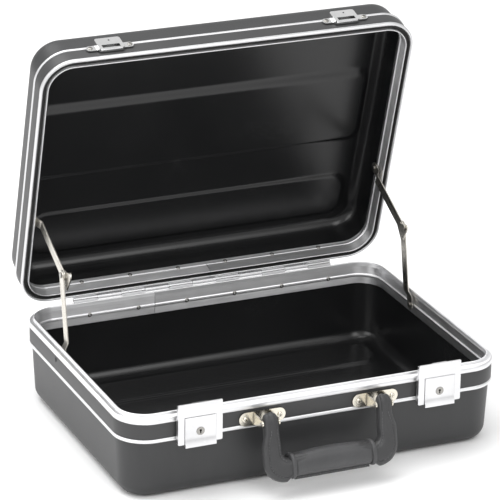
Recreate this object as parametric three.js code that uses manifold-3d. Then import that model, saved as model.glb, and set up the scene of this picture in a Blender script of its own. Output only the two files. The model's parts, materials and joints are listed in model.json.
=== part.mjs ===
// Hard-sided attache case: moulded shells in an aluminium tongue-and-groove frame,
// a piano hinge, two folding stays, two key locks with catches and a drop handle.
// Millimetres, +Z up, -Y is the front, the base stands on z = 0 with its middle at
// the origin. The lid is drawn closed and then turned open about the hinge.
import * as THREE from "three";
import { mergeVertices } from "three/addons/utils/BufferGeometryUtils.js";
import Module from "manifold-3d";

const wasm = await Module();
wasm.setup();
const { Manifold, Mesh: ManifoldMesh } = wasm;

// ---------------------------------------------------------------- driving sizes
const WIDTH = 456;
const DEPTH = 334;
const CORNER_R = 37;
const SEAM_Z = 98.9;
const BASE_SHELL_TOP = 69;
const LID_TOP = 161;
const LID_BAND = 25;
const LID_OPEN_DEG = 74;
const GAP = 0.3;

const HALF_W = WIDTH / 2;
const HALF_D = DEPTH / 2;
const FRONT_Y = -HALF_D;

// Shells: wall thickness, inset of the outer wall from the frame's face, draft, edge fillet.
const WALL = 2.5;
const SHELL_INSET = 2.9;
const DRAFT = Math.tan(THREE.MathUtils.degToRad(3));
const EDGE_R = 16;
const CORNER_STEPS = 7;
const FILLET_STEPS = 6;

// Stiffening beads pressed into the big faces: y, half width, depth.
const BEADS = [[-63, 7, 2.4], [31, 3.2, 1.4], [83, 3.2, 1.4]];
const BEAD_HALF_LENGTH = 196;

// Frame section, as insets from the outer face.
const BEAD_OUT = -0.8;
const INLAY_FLOOR = 1.4;
const TONGUE = [4.9, 6.9];
const TONGUE_TOP = 102;
const FLANGE = [5.9, 7.3];
const BASE_FLANGE_BOTTOM = 74.5;
const RIB_Z = 85.4;
const RIB_OUT = 0.9;
const LIP = [7.5, 9.1];
const GROOVE_DEPTH = 5;
const BASE_BEAD_LOW = [69, 73.5];
const BASE_BEAD_HIGH = [91.3, 98.6];
const LID_BEAD_HIGH = [SEAM_Z + 0.3, SEAM_Z + 5.2];
const LID_BEAD_LOW = [SEAM_Z + LID_BAND - 3.6, SEAM_Z + LID_BAND];

// Hinge.
const HINGE_Y = HALF_D + 5.2;
const HINGE_Z = 101.3;
const HINGE_LENGTH = 330;
const HINGE_X = 4;
const KNUCKLE = 30;
const KNUCKLE_R = 2.9;
const HINGE_PIN_R = 1.3;

// Locks and catches.
const LOCK_X = 144;
const LOCK_HALF = 26;
const LEVER_HALF = 18.1;
const LEVER_PIVOT = [FRONT_Y - 5, 94.6];
const HASP_PIVOT = [FRONT_Y - 5, 86.6];
const LOCK_PIN_R = 1;
const HASP_BACK = FRONT_Y - 7.5;
const HASP_FRONT = HASP_BACK - 1.4;
const HASP_Z = [65.8, 113.4];
const CYLINDER_Z = 80;
const CYLINDER_R = 4.8;
const CATCH_EAR_X = 23.5;
const CATCH_EAR_Z = 117.5;

// Handle. Its lugs stand well off the case and it rests tilted outwards.
const BRACKET_X = 68;
const BRACKET_Z = 80.5;
const BRACKET_SCREW = 20.6;
const BRACKET_HALF = [27.5, 8];
const LUG_INNER = 9;
const LUG_THICK = 1.6;
const LUG_ROOT_Z = [73.2, 87];
const LUG_TIP_R = 4;
const HANDLE_PIVOT = [FRONT_Y - 23, 82.5];
const HANDLE_TILT_DEG = 14;
const HANDLE_PIN_R = 2;
const HANDLE_PIN_HALF = 11.2;
const ARM_TOP_X = [59.8, 76.2];
const ARM_LOW_X = [58.8, 80.3];
const ARM_WIDENS = [8, 28];
const ARM_DEPTH = 7.3;
const ARM_EYE_R = 7.2;
const BEND_INNER = { x: 50.3, z: 49.5, r: 8.5 };
const BEND_OUTER = { x: 56.3, z: 38.8, r: 24 };
const GRIP_CORE_Z = [21.5, 44.9];
const GRIP_CORE_DEPTH = 11.4;
const SLEEVE = { half: 45.2, z: 33.2, halfZ: 13.4, halfY: 13 };
const SLEEVE_FIN = { bottom: 15.2, half: 1.4 };
const COLLAR = { from: 45.5, to: 50.5, z: 31.5, halfZ: 14.6, halfY: 13.4 };
const SLEEVE_WALL = 1.3;
// Where the bend runs into the grip: inner and outer points, and how much thinner than the grip core.
const GRIP_NECK = [
  { inner: [50, 42], outer: [51, 18.8], thinner: 0.4 },
  { inner: [48, 43.5], outer: [48, 20], thinner: 0 },
];
// Power of the rounded section: lower is squarer.
const ARM_FULLNESS = 0.6;
const GRIP_FULLNESS = 0.76;
const PIN_WAY_HALF = 20;
const PIN_CLEARANCE = 0.06;

// Folding stays: pivots in the closed case as [y, z], elbow in the open case.
const STAY_BASE = [49, 86];
const STAY_LID = [50, 116.5];
const STAY_ELBOW_OPEN = [67, 180];
const STAY_THICK = 1.5;
const LINK_HALF = 6.2;
const BASE_PIVOT_INSET = 10;
const LID_PIVOT_INSET = 11;
const LOWER_RUN_INSET = 14;
const UPPER_RUN_INSET = 15.9;

// ---------------------------------------------------------------- materials
const colours = {
  shell: [0x2c2d2f, 0.55, 0],
  inlay: [0x2a2b2d, 0.6, 0],
  aluminium: [0xd6d8da, 0.3, 1],
  nickel: [0xd9d6cc, 0.28, 1],
  steel: [0xb9b6ac, 0.35, 1],
  rubber: [0x161616, 0.85, 0],
  leather: [0x3b3c3f, 0.7, 0],
};

function material(kind) {
  const [color, roughness, metalness] = colours[kind];
  return new THREE.MeshStandardMaterial({ color, roughness, metalness });
}

// ---------------------------------------------------------------- solids
function manifoldFrom(positions, triangles) {
  return new Manifold(new ManifoldMesh({
    numProp: 3,
    vertProperties: new Float32Array(positions),
    triVerts: new Uint32Array(triangles),
  }));
}

function manifoldOf(geometry) {
  const bare = geometry.clone();
  bare.deleteAttribute("normal");
  bare.deleteAttribute("uv");
  const merged = mergeVertices(bare, 1e-4);
  return manifoldFrom(merged.attributes.position.array, merged.index.array);
}

function geometryOf(solid) {
  const mesh = solid.getMesh();
  const geometry = new THREE.BufferGeometry();
  geometry.setAttribute("position", new THREE.BufferAttribute(new Float32Array(mesh.vertProperties), 3));
  geometry.setIndex(new THREE.BufferAttribute(new Uint32Array(mesh.triVerts), 1));
  return geometry;
}

const union = (...solids) => solids.reduce((a, b) => a.add(b));
const cut = (solid, ...tools) => tools.reduce((a, b) => a.subtract(b), solid);

// Box between two corners.
function box([x0, y0, z0], [x1, y1, z1]) {
  const geometry = new THREE.BoxGeometry(x1 - x0, y1 - y0, z1 - z0);
  geometry.translate((x0 + x1) / 2, (y0 + y1) / 2, (z0 + z1) / 2);
  return manifoldOf(geometry);
}

// Round bar along "x" or "y" between two stations.
function bar(axis, from, to, a, b, radius, segments = 14) {
  const geometry = new THREE.CylinderGeometry(radius, radius, to - from, segments);
  const middle = (from + to) / 2;
  if (axis === "x") {
    geometry.rotateZ(Math.PI / 2);
    geometry.translate(middle, a, b);
  } else {
    geometry.translate(a, middle, b);
  }
  return manifoldOf(geometry);
}

// Plate with the outline `points` ([u, v] pairs) in the XZ plane, from y0 (back) to y1 (front).
function plateXZ(shape, yBack, yFront) {
  const geometry = new THREE.ExtrudeGeometry(shape, { depth: yBack - yFront, bevelEnabled: false,
    curveSegments: 5 });
  geometry.rotateX(Math.PI / 2);
  geometry.translate(0, yBack, 0);
  return manifoldOf(geometry);
}

// Plate with its outline in the YZ plane, from x0 to x1.
function plateYZ(shape, x0, x1) {
  const geometry = new THREE.ExtrudeGeometry(shape, { depth: x1 - x0, bevelEnabled: false,
    curveSegments: 5 });
  geometry.applyMatrix4(new THREE.Matrix4().set(0, 0, 1, x0, 1, 0, 0, 0, 0, 1, 0, 0, 0, 0, 0, 1));
  return manifoldOf(geometry);
}

function roundedShape(u0, v0, u1, v1, r) {
  const shape = new THREE.Shape();
  shape.moveTo(u0 + r, v0);
  shape.lineTo(u1 - r, v0);
  shape.absarc(u1 - r, v0 + r, r, -Math.PI / 2, 0);
  shape.lineTo(u1, v1 - r);
  shape.absarc(u1 - r, v1 - r, r, 0, Math.PI / 2);
  shape.lineTo(u0 + r, v1);
  shape.absarc(u0 + r, v1 - r, r, Math.PI / 2, Math.PI);
  shape.lineTo(u0, v0 + r);
  shape.absarc(u0 + r, v0 + r, r, Math.PI, 1.5 * Math.PI);
  return shape;
}

// ---------------------------------------------------------------- rings round the case
// One ring of the case outline, `inset` inside its outer face, at height z.
function ring(inset, z) {
  const r = Math.max(CORNER_R - inset, 1);
  const cx = HALF_W - inset - r;
  const cy = HALF_D - inset - r;
  const points = [];
  [[cx, cy], [-cx, cy], [-cx, -cy], [cx, -cy]].forEach(([x, y], corner) => {
    for (let i = 0; i <= CORNER_STEPS; i += 1) {
      const angle = (corner + i / CORNER_STEPS) * Math.PI / 2;
      points.push(x + r * Math.cos(angle), y + r * Math.sin(angle), z);
    }
  });
  return points;
}

const RING_COUNT = 4 * (CORNER_STEPS + 1);

function stitch(triangles, lower, upper) {
  for (let i = 0; i < RING_COUNT; i += 1) {
    const j = (i + 1) % RING_COUNT;
    triangles.push(lower + i, lower + j, upper + j, lower + i, upper + j, upper + i);
  }
}

// A closed section of [inset, z] pairs carried all the way round the case.
function frameRing(section) {
  const positions = [];
  const triangles = [];
  section.forEach(([inset, z]) => positions.push(...ring(inset, z)));
  section.forEach((_, i) => stitch(triangles, i * RING_COUNT, ((i + 1) % section.length) * RING_COUNT));
  return orient(positions, triangles);
}

// A solid block whose rings are [inset, z] pairs from the bottom to the top.
function block(rings) {
  const positions = [];
  const triangles = [];
  rings.forEach(([inset, z]) => positions.push(...ring(inset, z)));
  rings.slice(1).forEach((_, i) => stitch(triangles, i * RING_COUNT, (i + 1) * RING_COUNT));
  const low = positions.length / 3;
  const high = low + 1;
  positions.push(0, 0, rings[0][1], 0, 0, rings[rings.length - 1][1]);
  const top = (rings.length - 1) * RING_COUNT;
  for (let i = 0; i < RING_COUNT; i += 1) {
    const j = (i + 1) % RING_COUNT;
    triangles.push(low, j, i, high, top + i, top + j);
  }
  return orient(positions, triangles);
}

// Turns a closed mesh inside out if its faces look inward.
function orient(positions, triangles) {
  let volume = 0;
  const at = (i) => new THREE.Vector3(...positions.slice(3 * i, 3 * i + 3));
  for (let t = 0; t < triangles.length; t += 3) {
    const [a, b, c] = [at(triangles[t]), at(triangles[t + 1]), at(triangles[t + 2])];
    volume += a.dot(b.cross(c));
  }
  if (volume < 0) {
    for (let t = 0; t < triangles.length; t += 3) {
      [triangles[t + 1], triangles[t + 2]] = [triangles[t + 2], triangles[t + 1]];
    }
  }
  return manifoldFrom(positions, triangles);
}

// ---------------------------------------------------------------- shells
// Rings of a tray with a filleted edge: open at `rim`, flat face at `face`, drafted up to
// `knee` and straight inside the frame above it.
function trayRings(rim, knee, face, inset, fillet) {
  const up = Math.sign(rim - face);
  const height = Math.abs(knee - face);
  const foot = inset + (height - fillet) * DRAFT;
  const rings = [];
  for (let i = 0; i <= FILLET_STEPS; i += 1) {
    const angle = (i / FILLET_STEPS) * Math.PI / 2;
    rings.push([foot + fillet * (1 - Math.sin(angle)), face + up * fillet * (1 - Math.cos(angle))]);
  }
  rings.push([inset, knee], [inset, rim]);
  return rings;
}

// One bead as a tapered bar with rounded ends, standing on z = 0 and narrowing to `height`.
function beadSolid(y, half, height, sink) {
  const low = new THREE.Vector2(half, -sink);
  const high = new THREE.Vector2(half * 0.45, height);
  const positions = [];
  const triangles = [];
  const steps = 8;
  const count = 2 * (steps + 1);
  [low, high].forEach(({ x: w, y: z }) => {
    for (let end = 0; end < 2; end += 1) {
      for (let i = 0; i <= steps; i += 1) {
        const angle = (end + i / steps) * Math.PI - Math.PI / 2;
        const cx = end === 0 ? BEAD_HALF_LENGTH - half : half - BEAD_HALF_LENGTH;
        positions.push(cx + w * Math.cos(angle), y + w * Math.sin(angle), z);
      }
    }
  });
  for (let i = 0; i < count; i += 1) {
    const j = (i + 1) % count;
    triangles.push(i, j, count + j, i, count + j, count + i);
  }
  for (let i = 1; i < count - 1; i += 1) {
    triangles.push(0, i + 1, i, count, count + i, count + i + 1);
  }
  return orient(positions, triangles);
}

// Shell with beads: `rim` is the open edge, `knee` the edge of the frame, `face` the big flat face.
function shell(rim, knee, face) {
  const up = Math.sign(rim - face);
  const sorted = (rings) => (up > 0 ? rings : rings.slice().reverse());
  let outer = block(sorted(trayRings(rim, knee, face, SHELL_INSET, EDGE_R)));
  let inner = block(sorted(trayRings(rim + up, knee, face + up * WALL, SHELL_INSET + WALL, EDGE_R - WALL)));
  BEADS.forEach(([y, half, depth]) => {
    const place = (solid, z) => (up > 0 ? solid : solid.scale([1, 1, -1])).translate([0, 0, z]);
    outer = outer.subtract(place(beadSolid(y, half, depth, 1), face));
    inner = inner.subtract(place(beadSolid(y, half + 1.2, depth, 1), face + up * WALL));
  });
  return outer.subtract(inner);
}

// ---------------------------------------------------------------- frames
function baseFrameSection() {
  const [lowA, lowB] = BASE_BEAD_LOW;
  const [highA, highB] = BASE_BEAD_HIGH;
  return [
    [2.4, lowA], [0.4, lowA], [BEAD_OUT, lowA + 1.2], [BEAD_OUT, lowB - 1.2], [0.2, lowB],
    [INLAY_FLOOR, lowB], [INLAY_FLOOR, highA], [0.2, highA], [BEAD_OUT, highA + 1.6],
    [BEAD_OUT + 0.1, highB - 2.4], [0.6, highB - 0.6], [2, highB], [TONGUE[0], highB],
    [TONGUE[0], TONGUE_TOP - 0.6], [TONGUE[0] + 0.6, TONGUE_TOP], [TONGUE[1] - 0.6, TONGUE_TOP],
    [TONGUE[1], TONGUE_TOP - 0.6], [TONGUE[1], highB], [FLANGE[1], highB - 1],
    [FLANGE[1], RIB_Z + 2.2], [FLANGE[1] + RIB_OUT, RIB_Z + 1.1], [FLANGE[1] + RIB_OUT, RIB_Z - 1.1],
    [FLANGE[1], RIB_Z - 2.2], [FLANGE[1], BASE_FLANGE_BOTTOM], [FLANGE[0], BASE_FLANGE_BOTTOM],
    [FLANGE[0], highA], [2.4, highA],
  ];
}

function lidFrameSection() {
  const [nearA, nearB] = LID_BEAD_HIGH;
  const [farA, farB] = LID_BEAD_LOW;
  const ribZ = 2 * SEAM_Z - RIB_Z + 2;
  const top = SEAM_Z + LID_BAND;
  return [
    [2.4, top], [0.4, farB], [BEAD_OUT, farB - 1], [BEAD_OUT, farA + 1], [0.2, farA],
    [INLAY_FLOOR, farA], [INLAY_FLOOR, nearB], [0.2, nearB], [BEAD_OUT, nearB - 1.4],
    [BEAD_OUT, nearA + 1.8], [0.4, nearA + 0.5], [1.6, nearA], [3.4, nearA], [4.4, nearA + 0.8],
    [4.4, SEAM_Z + GROOVE_DEPTH], [LIP[0], SEAM_Z + GROOVE_DEPTH], [LIP[0], nearA + 0.5],
    [LIP[0] + 0.5, nearA], [LIP[1] - 0.5, nearA], [LIP[1], nearA + 0.5],
    [LIP[1], ribZ - 2.2], [LIP[1] + RIB_OUT, ribZ - 1.1], [LIP[1] + RIB_OUT, ribZ + 1.1], [LIP[1],
      ribZ + 2.2],
    [LIP[1], top - 4], [LIP[0], top - 4], [LIP[0], SEAM_Z + 8], [2.4, SEAM_Z + 8],
  ];
}

// Flat strip lying in the frame's channel between two beads.
function inlaySection(z0, z1) {
  return [[0.1, z0 + 0.1], [0.1, z1 - 0.1], [INLAY_FLOOR - 0.1, z1 - 0.1], [INLAY_FLOOR - 0.1, z0 + 0.1]];
}

function gasketSection() {
  const ceiling = SEAM_Z + GROOVE_DEPTH - 0.1;
  return [[4.6, ceiling], [4.6, ceiling - 0.9], [5.4, ceiling - 1.4], [6.5, ceiling - 1.4],
    [7.3, ceiling - 0.9], [7.3, ceiling]];
}

// ---------------------------------------------------------------- hinge
// One leaf: `side` is -1 for the base leaf (below the axis) and +1 for the lid leaf.
function hingeLeaf(side, firstKnuckle) {
  const x0 = HINGE_X - HINGE_LENGTH / 2;
  const plateY = [HALF_D + 1.1, HALF_D + 2.4];
  const far = side < 0 ? HINGE_Z - 22 : HINGE_Z + 20;
  const near = HINGE_Z + side * (KNUCKLE_R + 0.6);
  const span = [Math.min(far, near), Math.max(far, near)];
  let leaf = box([x0, plateY[0], span[0]], [x0 + HINGE_LENGTH, plateY[1], span[1]]);
  for (let i = firstKnuckle; i < HINGE_LENGTH / KNUCKLE; i += 2) {
    const a = x0 + i * KNUCKLE + 0.15;
    const b = a + KNUCKLE - 0.3;
    const barrel = bar("x", a, b, HINGE_Y, HINGE_Z, KNUCKLE_R);
    const web = box([a, plateY[0], Math.min(HINGE_Z, near)], [b, plateY[1] + 0.9, Math.max(HINGE_Z, near)]);
    leaf = leaf.add(barrel).add(web);
  }
  return leaf.subtract(bar("x", x0 - 1, x0 + HINGE_LENGTH + 1, HINGE_Y, HINGE_Z, HINGE_PIN_R + 0.06, 24));
}

// ---------------------------------------------------------------- fasteners
// Domed screw in a plate's face: centre x and z, seat y, head and shank sizes, cross slot.
function screw(x, z, seatY, headR = 3, headH = 1.5, shank = 1.1) {
  const profile = [[0, 0], [headR, 0], [headR * 0.97, headH * 0.35], [headR * 0.7, headH * 0.8], [0, headH]];
  const head = new THREE.LatheGeometry(profile.map(([r, h]) => new THREE.Vector2(r, h)), 12);
  head.rotateX(Math.PI);
  head.translate(x, seatY, z);
  const slot = (dx, dz) => box([x - dx, seatY - headH - 0.2, z - dz], [x + dx, seatY - headH + 0.6, z + dz]);
  const body = union(manifoldOf(head), bar("y", seatY - 0.3, seatY + shank, x, z, 1.3));
  return cut(body, slot(1.7, 0.3), slot(0.3, 1.7));
}

// ---------------------------------------------------------------- locks
function lockPlate(x) {
  const back = FRONT_Y - 1.1;
  const plate = plateXZ(roundedShape(x - 25, 67, x + 25, 96.4, 2), back, back - 1.2);
  const [py, pz] = LEVER_PIVOT;
  const ears = [-1, 1].map((side) => {
    const a = x + side * (LEVER_HALF + 0.5);
    const [x0, x1] = [Math.min(a, a + side * 1.5), Math.max(a, a + side * 1.5)];
    const ear = union(bar("x", x0, x1, py, pz, 1.9), box([x0, py, pz - 1.9], [x1, back - 0.2, pz + 1.7]));
    return ear.subtract(bar("x", x0 - 1, x1 + 1, py, pz, LOCK_PIN_R + 0.06));
  });
  return union(plate, ...ears);
}

function hasp(x) {
  const [bottom, top] = HASP_Z;
  const face = plateXZ(roundedShape(x - LOCK_HALF, bottom, x + LOCK_HALF, top, 1.5), HASP_BACK, HASP_FRONT);
  const window = box([x - LEVER_HALF - 0.45, HASP_FRONT - 1, bottom - 1],
    [x + LEVER_HALF + 0.45, HASP_BACK + 1, LEVER_PIVOT[1] + 3]);
  const side = (s) => {
    const a = x + s * LOCK_HALF;
    const b = a - s * 1.3;
    return box([Math.min(a, b), HASP_BACK - 0.7, bottom + 1.5], [Math.max(a, b), HASP_BACK + 2.6, top - 1.5]);
  };
  const hook = box([x - 9, HASP_BACK - 0.7, top - 1.4], [x + 9, HASP_BACK + 1.6, top - 0.2]);
  const [py, pz] = HASP_PIVOT;
  const lugs = [-1, 1].map((s) => {
    const a = x + s * (LEVER_HALF + 0.5);
    const [x0, x1] = [Math.min(a, a + s * 1.5), Math.max(a, a + s * 1.5)];
    const lug = union(bar("x", x0, x1, py, pz, 1.9), box([x0, HASP_BACK - 0.4, pz - 1.9], [x1, py,
      pz + 1.9]));
    return lug.subtract(bar("x", x0 - 1, x1 + 1, py, pz, LOCK_PIN_R + 0.06));
  });
  return union(cut(face, window), side(-1), side(1), hook, ...lugs);
}

function lever(x) {
  const front = HASP_FRONT - 0.7;
  const back = HASP_BACK + 0.1;
  const top = LEVER_PIVOT[1] + 2.3;
  const profile = new THREE.Shape();
  profile.moveTo(back, top);
  profile.lineTo(back, 68);
  profile.lineTo(back - 0.6, 63.5);
  profile.lineTo(front - 1.8, 62.6);
  profile.quadraticCurveTo(front - 2, 67, front, 73);
  profile.lineTo(front, top - 0.4);
  profile.lineTo(front + 0.4, top);
  const plate = plateYZ(profile, x - LEVER_HALF, x + LEVER_HALF);
  const barrels = [LEVER_PIVOT, HASP_PIVOT].map(([y, z]) => union(
    bar("x", x - LEVER_HALF, x + LEVER_HALF, y, z, 1.9),
    box([x - LEVER_HALF, back - 0.3, z - 1.2], [x + LEVER_HALF, y, z + 1.2]),
  ).subtract(bar("x", x - 30, x + 30, y, z, LOCK_PIN_R + 0.06)));
  const boss = bar("y", back - 0.2, back + 2, x, CYLINDER_Z, CYLINDER_R + 1.3, 28);
  const bore = bar("y", front - 3, back + 3, x, CYLINDER_Z, CYLINDER_R + 0.12, 28);
  const pinWays = [LEVER_PIVOT, HASP_PIVOT].map(([y, z]) => bar("x", x - 30, x + 30, y, z,
    LOCK_PIN_R + 0.06));
  return cut(union(plate, ...barrels, boss), bore, ...pinWays);
}

function lockPin(x, [y, z]) {
  return bar("x", x - LEVER_HALF - 1.95, x + LEVER_HALF + 1.95, y, z, LOCK_PIN_R);
}

function keyCylinder(x) {
  const front = HASP_FRONT - 1.1;
  const body = bar("y", front, HASP_BACK + 2.6, x, CYLINDER_Z, CYLINDER_R, 28);
  const hole = bar("y", front - 1, front + 4.4, x, CYLINDER_Z + 0.7, 1.35, 16);
  const slit = box([x - 0.6, front - 1, CYLINDER_Z - 2.9], [x + 0.6, front + 4.4, CYLINDER_Z + 0.7]);
  return cut(body, hole, slit);
}

// ---------------------------------------------------------------- catches
function catchBody(x) {
  const back = FRONT_Y - 1.1;
  const ears = plateXZ(roundedShape(x - 28.3, CATCH_EAR_Z - 4.6, x + 28.3, CATCH_EAR_Z + 4.6, 4.5), back,
    back - 1.1);
  const arch = plateXZ(roundedShape(x - 15, 109.3, x + 15, 130.5, 3), back, FRONT_Y - 5.4);
  const slot = box([x - 10.6, FRONT_Y - 8, 111.7], [x + 10.6, FRONT_Y - 2.2, 117.1]);
  const eye = bar("y", FRONT_Y - 8, FRONT_Y - 2.2, x + 1, 125.4, 1.1, 16);
  const screwWay = (s) => bar("y", FRONT_Y - 4, FRONT_Y, x + s * CATCH_EAR_X, CATCH_EAR_Z, 1.6);
  return cut(union(ears, arch), slot, eye, screwWay(-1), screwWay(1));
}

// ---------------------------------------------------------------- handle
// Bracket: a plate with rounded ends and two lugs that carry the pin of the handle.
function bracket(x) {
  const back = FRONT_Y - 1.1;
  const z = BRACKET_Z;
  const [halfX, halfZ] = BRACKET_HALF;
  const plate = plateXZ(roundedShape(x - halfX, z - halfZ, x + halfX, z + halfZ, halfZ - 0.1), back,
    back - 1.2);
  const [py, pz] = HANDLE_PIVOT;
  const shape = new THREE.Shape();
  shape.moveTo(back - 0.5, LUG_ROOT_Z[1]);
  shape.lineTo(back - 0.5, LUG_ROOT_Z[0]);
  for (let k = 0; k <= 10; k += 1) {
    const angle = -Math.PI / 2 - (k / 10) * Math.PI;
    shape.lineTo(py + LUG_TIP_R * Math.cos(angle), pz + LUG_TIP_R * Math.sin(angle));
  }
  const lug = (s) => {
    const a = x + s * LUG_INNER;
    return plateYZ(shape, Math.min(a, a + s * LUG_THICK), Math.max(a, a + s * LUG_THICK));
  };
  const pinWay = bar("x", x - 20, x + 20, py, pz, HANDLE_PIN_R + 0.06);
  const screwWay = (s) => bar("y", FRONT_Y - 4, FRONT_Y, x + s * BRACKET_SCREW, z, 1.6);
  return cut(union(plate, lug(-1), lug(1)), pinWay, screwWay(-1), screwWay(1));
}

// Turns a piece of the handle, built hanging straight, outwards to where it rests.
function tilted(solid) {
  const [py, pz] = HANDLE_PIVOT;
  return solid.translate([0, -py, -pz]).rotate([-HANDLE_TILT_DEG, 0, 0]).translate([0, py, pz]);
}

const smoothstep = (t) => {
  const u = Math.min(Math.max(t, 0), 1);
  return u * u * (3 - 2 * u);
};

// Cross-sections of one arm and bend, as inner edge [x, z], outer edge [x, z] and half depth.
function handleStations() {
  const stations = [];
  const top = HANDLE_PIVOT[1];
  const straight = 8;
  const bend = 8;
  for (let i = 0; i <= straight; i += 1) {
    const t = i / straight;
    const innerZ = top + (BEND_INNER.z - top) * t;
    const outerZ = top + (BEND_OUTER.z - top) * t;
    const wide = (z) => smoothstep((top - z - ARM_WIDENS[0]) / (ARM_WIDENS[1] - ARM_WIDENS[0]));
    stations.push({
      inner: [ARM_TOP_X[0] + (ARM_LOW_X[0] - ARM_TOP_X[0]) * wide(innerZ), innerZ],
      outer: [ARM_TOP_X[1] + (ARM_LOW_X[1] - ARM_TOP_X[1]) * wide(outerZ), outerZ],
      depth: ARM_DEPTH,
    });
  }
  for (let i = 1; i <= bend; i += 1) {
    const angle = (i / bend) * Math.PI / 2;
    const [c, s] = [Math.cos(angle), Math.sin(angle)];
    stations.push({
      inner: [BEND_INNER.x + BEND_INNER.r * c, BEND_INNER.z - BEND_INNER.r * s],
      outer: [BEND_OUTER.x + BEND_OUTER.r * c, BEND_OUTER.z - BEND_OUTER.r * s],
      depth: ARM_DEPTH + (GRIP_CORE_DEPTH - 1 - ARM_DEPTH) * smoothstep(i / bend),
    });
  }
  const [low, high] = GRIP_CORE_Z;
  GRIP_NECK.forEach(({ inner, outer, thinner }) => {
    stations.push({ inner, outer, depth: GRIP_CORE_DEPTH - thinner });
  });
  stations.push({ inner: [SLEEVE.half - 0.2, high], outer: [SLEEVE.half - 0.2, low],
    depth: GRIP_CORE_DEPTH });
  const mirrored = stations.slice().reverse().map(({ inner, outer, depth }) => ({
    inner: [-inner[0], inner[1]], outer: [-outer[0], outer[1]], depth }));
  return [...stations, ...mirrored];
}

function handleBody() {
  const stations = handleStations();
  const [py, pz] = HANDLE_PIVOT;
  const around = 18;
  const positions = [];
  const triangles = [];
  stations.forEach(({ inner, outer, depth }) => {
    const rounding = smoothstep((depth - ARM_DEPTH) / (GRIP_CORE_DEPTH - ARM_DEPTH));
    const fullness = ARM_FULLNESS + (GRIP_FULLNESS - ARM_FULLNESS) * rounding;
    for (let k = 0; k < around; k += 1) {
      const angle = (k / around) * 2 * Math.PI;
      const c = Math.cos(angle);
      const s = Math.sin(angle);
      const u = (1 + Math.sign(c) * Math.abs(c) ** fullness) / 2;
      const v = depth * Math.sign(s) * Math.abs(s) ** fullness;
      positions.push(inner[0] + (outer[0] - inner[0]) * u, py + v, inner[1] + (outer[1] - inner[1]) * u);
    }
  });
  const rows = stations.length;
  for (let i = 0; i < rows - 1; i += 1) {
    for (let k = 0; k < around; k += 1) {
      const a = i * around + k;
      const b = i * around + (k + 1) % around;
      triangles.push(a, b, b + around, a, b + around, a + around);
    }
  }
  for (let k = 1; k < around - 1; k += 1) {
    const last = (rows - 1) * around;
    triangles.push(0, k + 1, k, last, last + k, last + k + 1);
  }
  const core = orient(positions, triangles);
  const eyes = [-1, 1].map((s) => bar("x", Math.min(s * ARM_TOP_X[0], s * ARM_TOP_X[1]),
    Math.max(s * ARM_TOP_X[0], s * ARM_TOP_X[1]), py, pz, ARM_EYE_R, 24));
  const ways = [-1, 1].map((s) => bar("x", s * BRACKET_X - PIN_WAY_HALF, s * BRACKET_X + PIN_WAY_HALF, py, pz,
    HANDLE_PIN_R + PIN_CLEARANCE, 24));
  return cut(union(core, ...eyes), ...ways);
}

// Padded tube round the grip between x0 and x1.
function gripTube(x0, x1, { z, halfZ, halfY }) {
  const steps = 24;
  const outline = (grow) => {
    const shape = new THREE.Shape();
    for (let k = 0; k < steps; k += 1) {
      const angle = (k / steps) * 2 * Math.PI;
      const c = Math.cos(angle);
      const s = Math.sin(angle);
      const u = HANDLE_PIVOT[0] + (halfY + grow) * Math.sign(c) * Math.abs(c) ** 0.72;
      const v = z + (halfZ + grow) * Math.sign(s) * Math.abs(s) ** 0.72;
      if (k === 0) shape.moveTo(u, v);
      else shape.lineTo(u, v);
    }
    return shape;
  };
  return plateYZ(outline(0), x0, x1).subtract(plateYZ(outline(-SLEEVE_WALL), x0 - 1, x1 + 1));
}

// Sleeve of the grip with the stitched fin along its underside.
function gripSleeve() {
  const tube = gripTube(-SLEEVE.half, SLEEVE.half, SLEEVE);
  const y = HANDLE_PIVOT[0];
  const fin = box([-SLEEVE.half, y - SLEEVE_FIN.half, SLEEVE_FIN.bottom],
    [SLEEVE.half, y + SLEEVE_FIN.half, SLEEVE.z - SLEEVE.halfZ + 0.7]);
  return union(tube, fin);
}

// ---------------------------------------------------------------- stays
function turned([y, z], degrees) {
  const angle = THREE.MathUtils.degToRad(degrees);
  const [dy, dz] = [y - HINGE_Y, z - HINGE_Z];
  return [HINGE_Y + dy * Math.cos(angle) - dz * Math.sin(angle),
    HINGE_Z + dy * Math.sin(angle) + dz * Math.cos(angle)];
}

// Flat link between two [y, z] points with rounded ends, jogged from one x inset to another
// close to its first end. `side` is -1 on the left and +1 on the right.
function link(side, from, to, fromInset, runInset) {
  const length = Math.hypot(to[0] - from[0], to[1] - from[1]);
  const [jogStart, jogEnd] = [11, 18];
  const strip = new THREE.Shape();
  strip.moveTo(-fromInset, 0);
  strip.lineTo(-fromInset, jogStart);
  strip.lineTo(-runInset, jogEnd);
  strip.lineTo(-runInset, length);
  strip.lineTo(-runInset - STAY_THICK, length);
  strip.lineTo(-runInset - STAY_THICK, jogEnd);
  strip.lineTo(-fromInset - STAY_THICK, jogStart);
  strip.lineTo(-fromInset - STAY_THICK, 0);
  const geometry = new THREE.ExtrudeGeometry(strip, { depth: 2 * LINK_HALF, bevelEnabled: false });
  geometry.translate(0, 0, -LINK_HALF);
  const body = union(
    manifoldOf(geometry),
    bar("x", -fromInset - STAY_THICK, -fromInset, 0, 0, LINK_HALF),
    bar("x", -runInset - STAY_THICK, -runInset, length, 0, LINK_HALF),
  );
  const turn = THREE.MathUtils.radToDeg(Math.atan2(to[1] - from[1], to[0] - from[0]));
  const placed = body.rotate([turn, 0, 0]).translate([HALF_W, from[0], from[1]]);
  return side > 0 ? placed : placed.mirror([1, 0, 0]);
}

// ---------------------------------------------------------------- assembly
const root = new THREE.Group();
root.name = "attache_case";
const base = new THREE.Group();
const lid = new THREE.Group();
root.add(base, lid);

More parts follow.
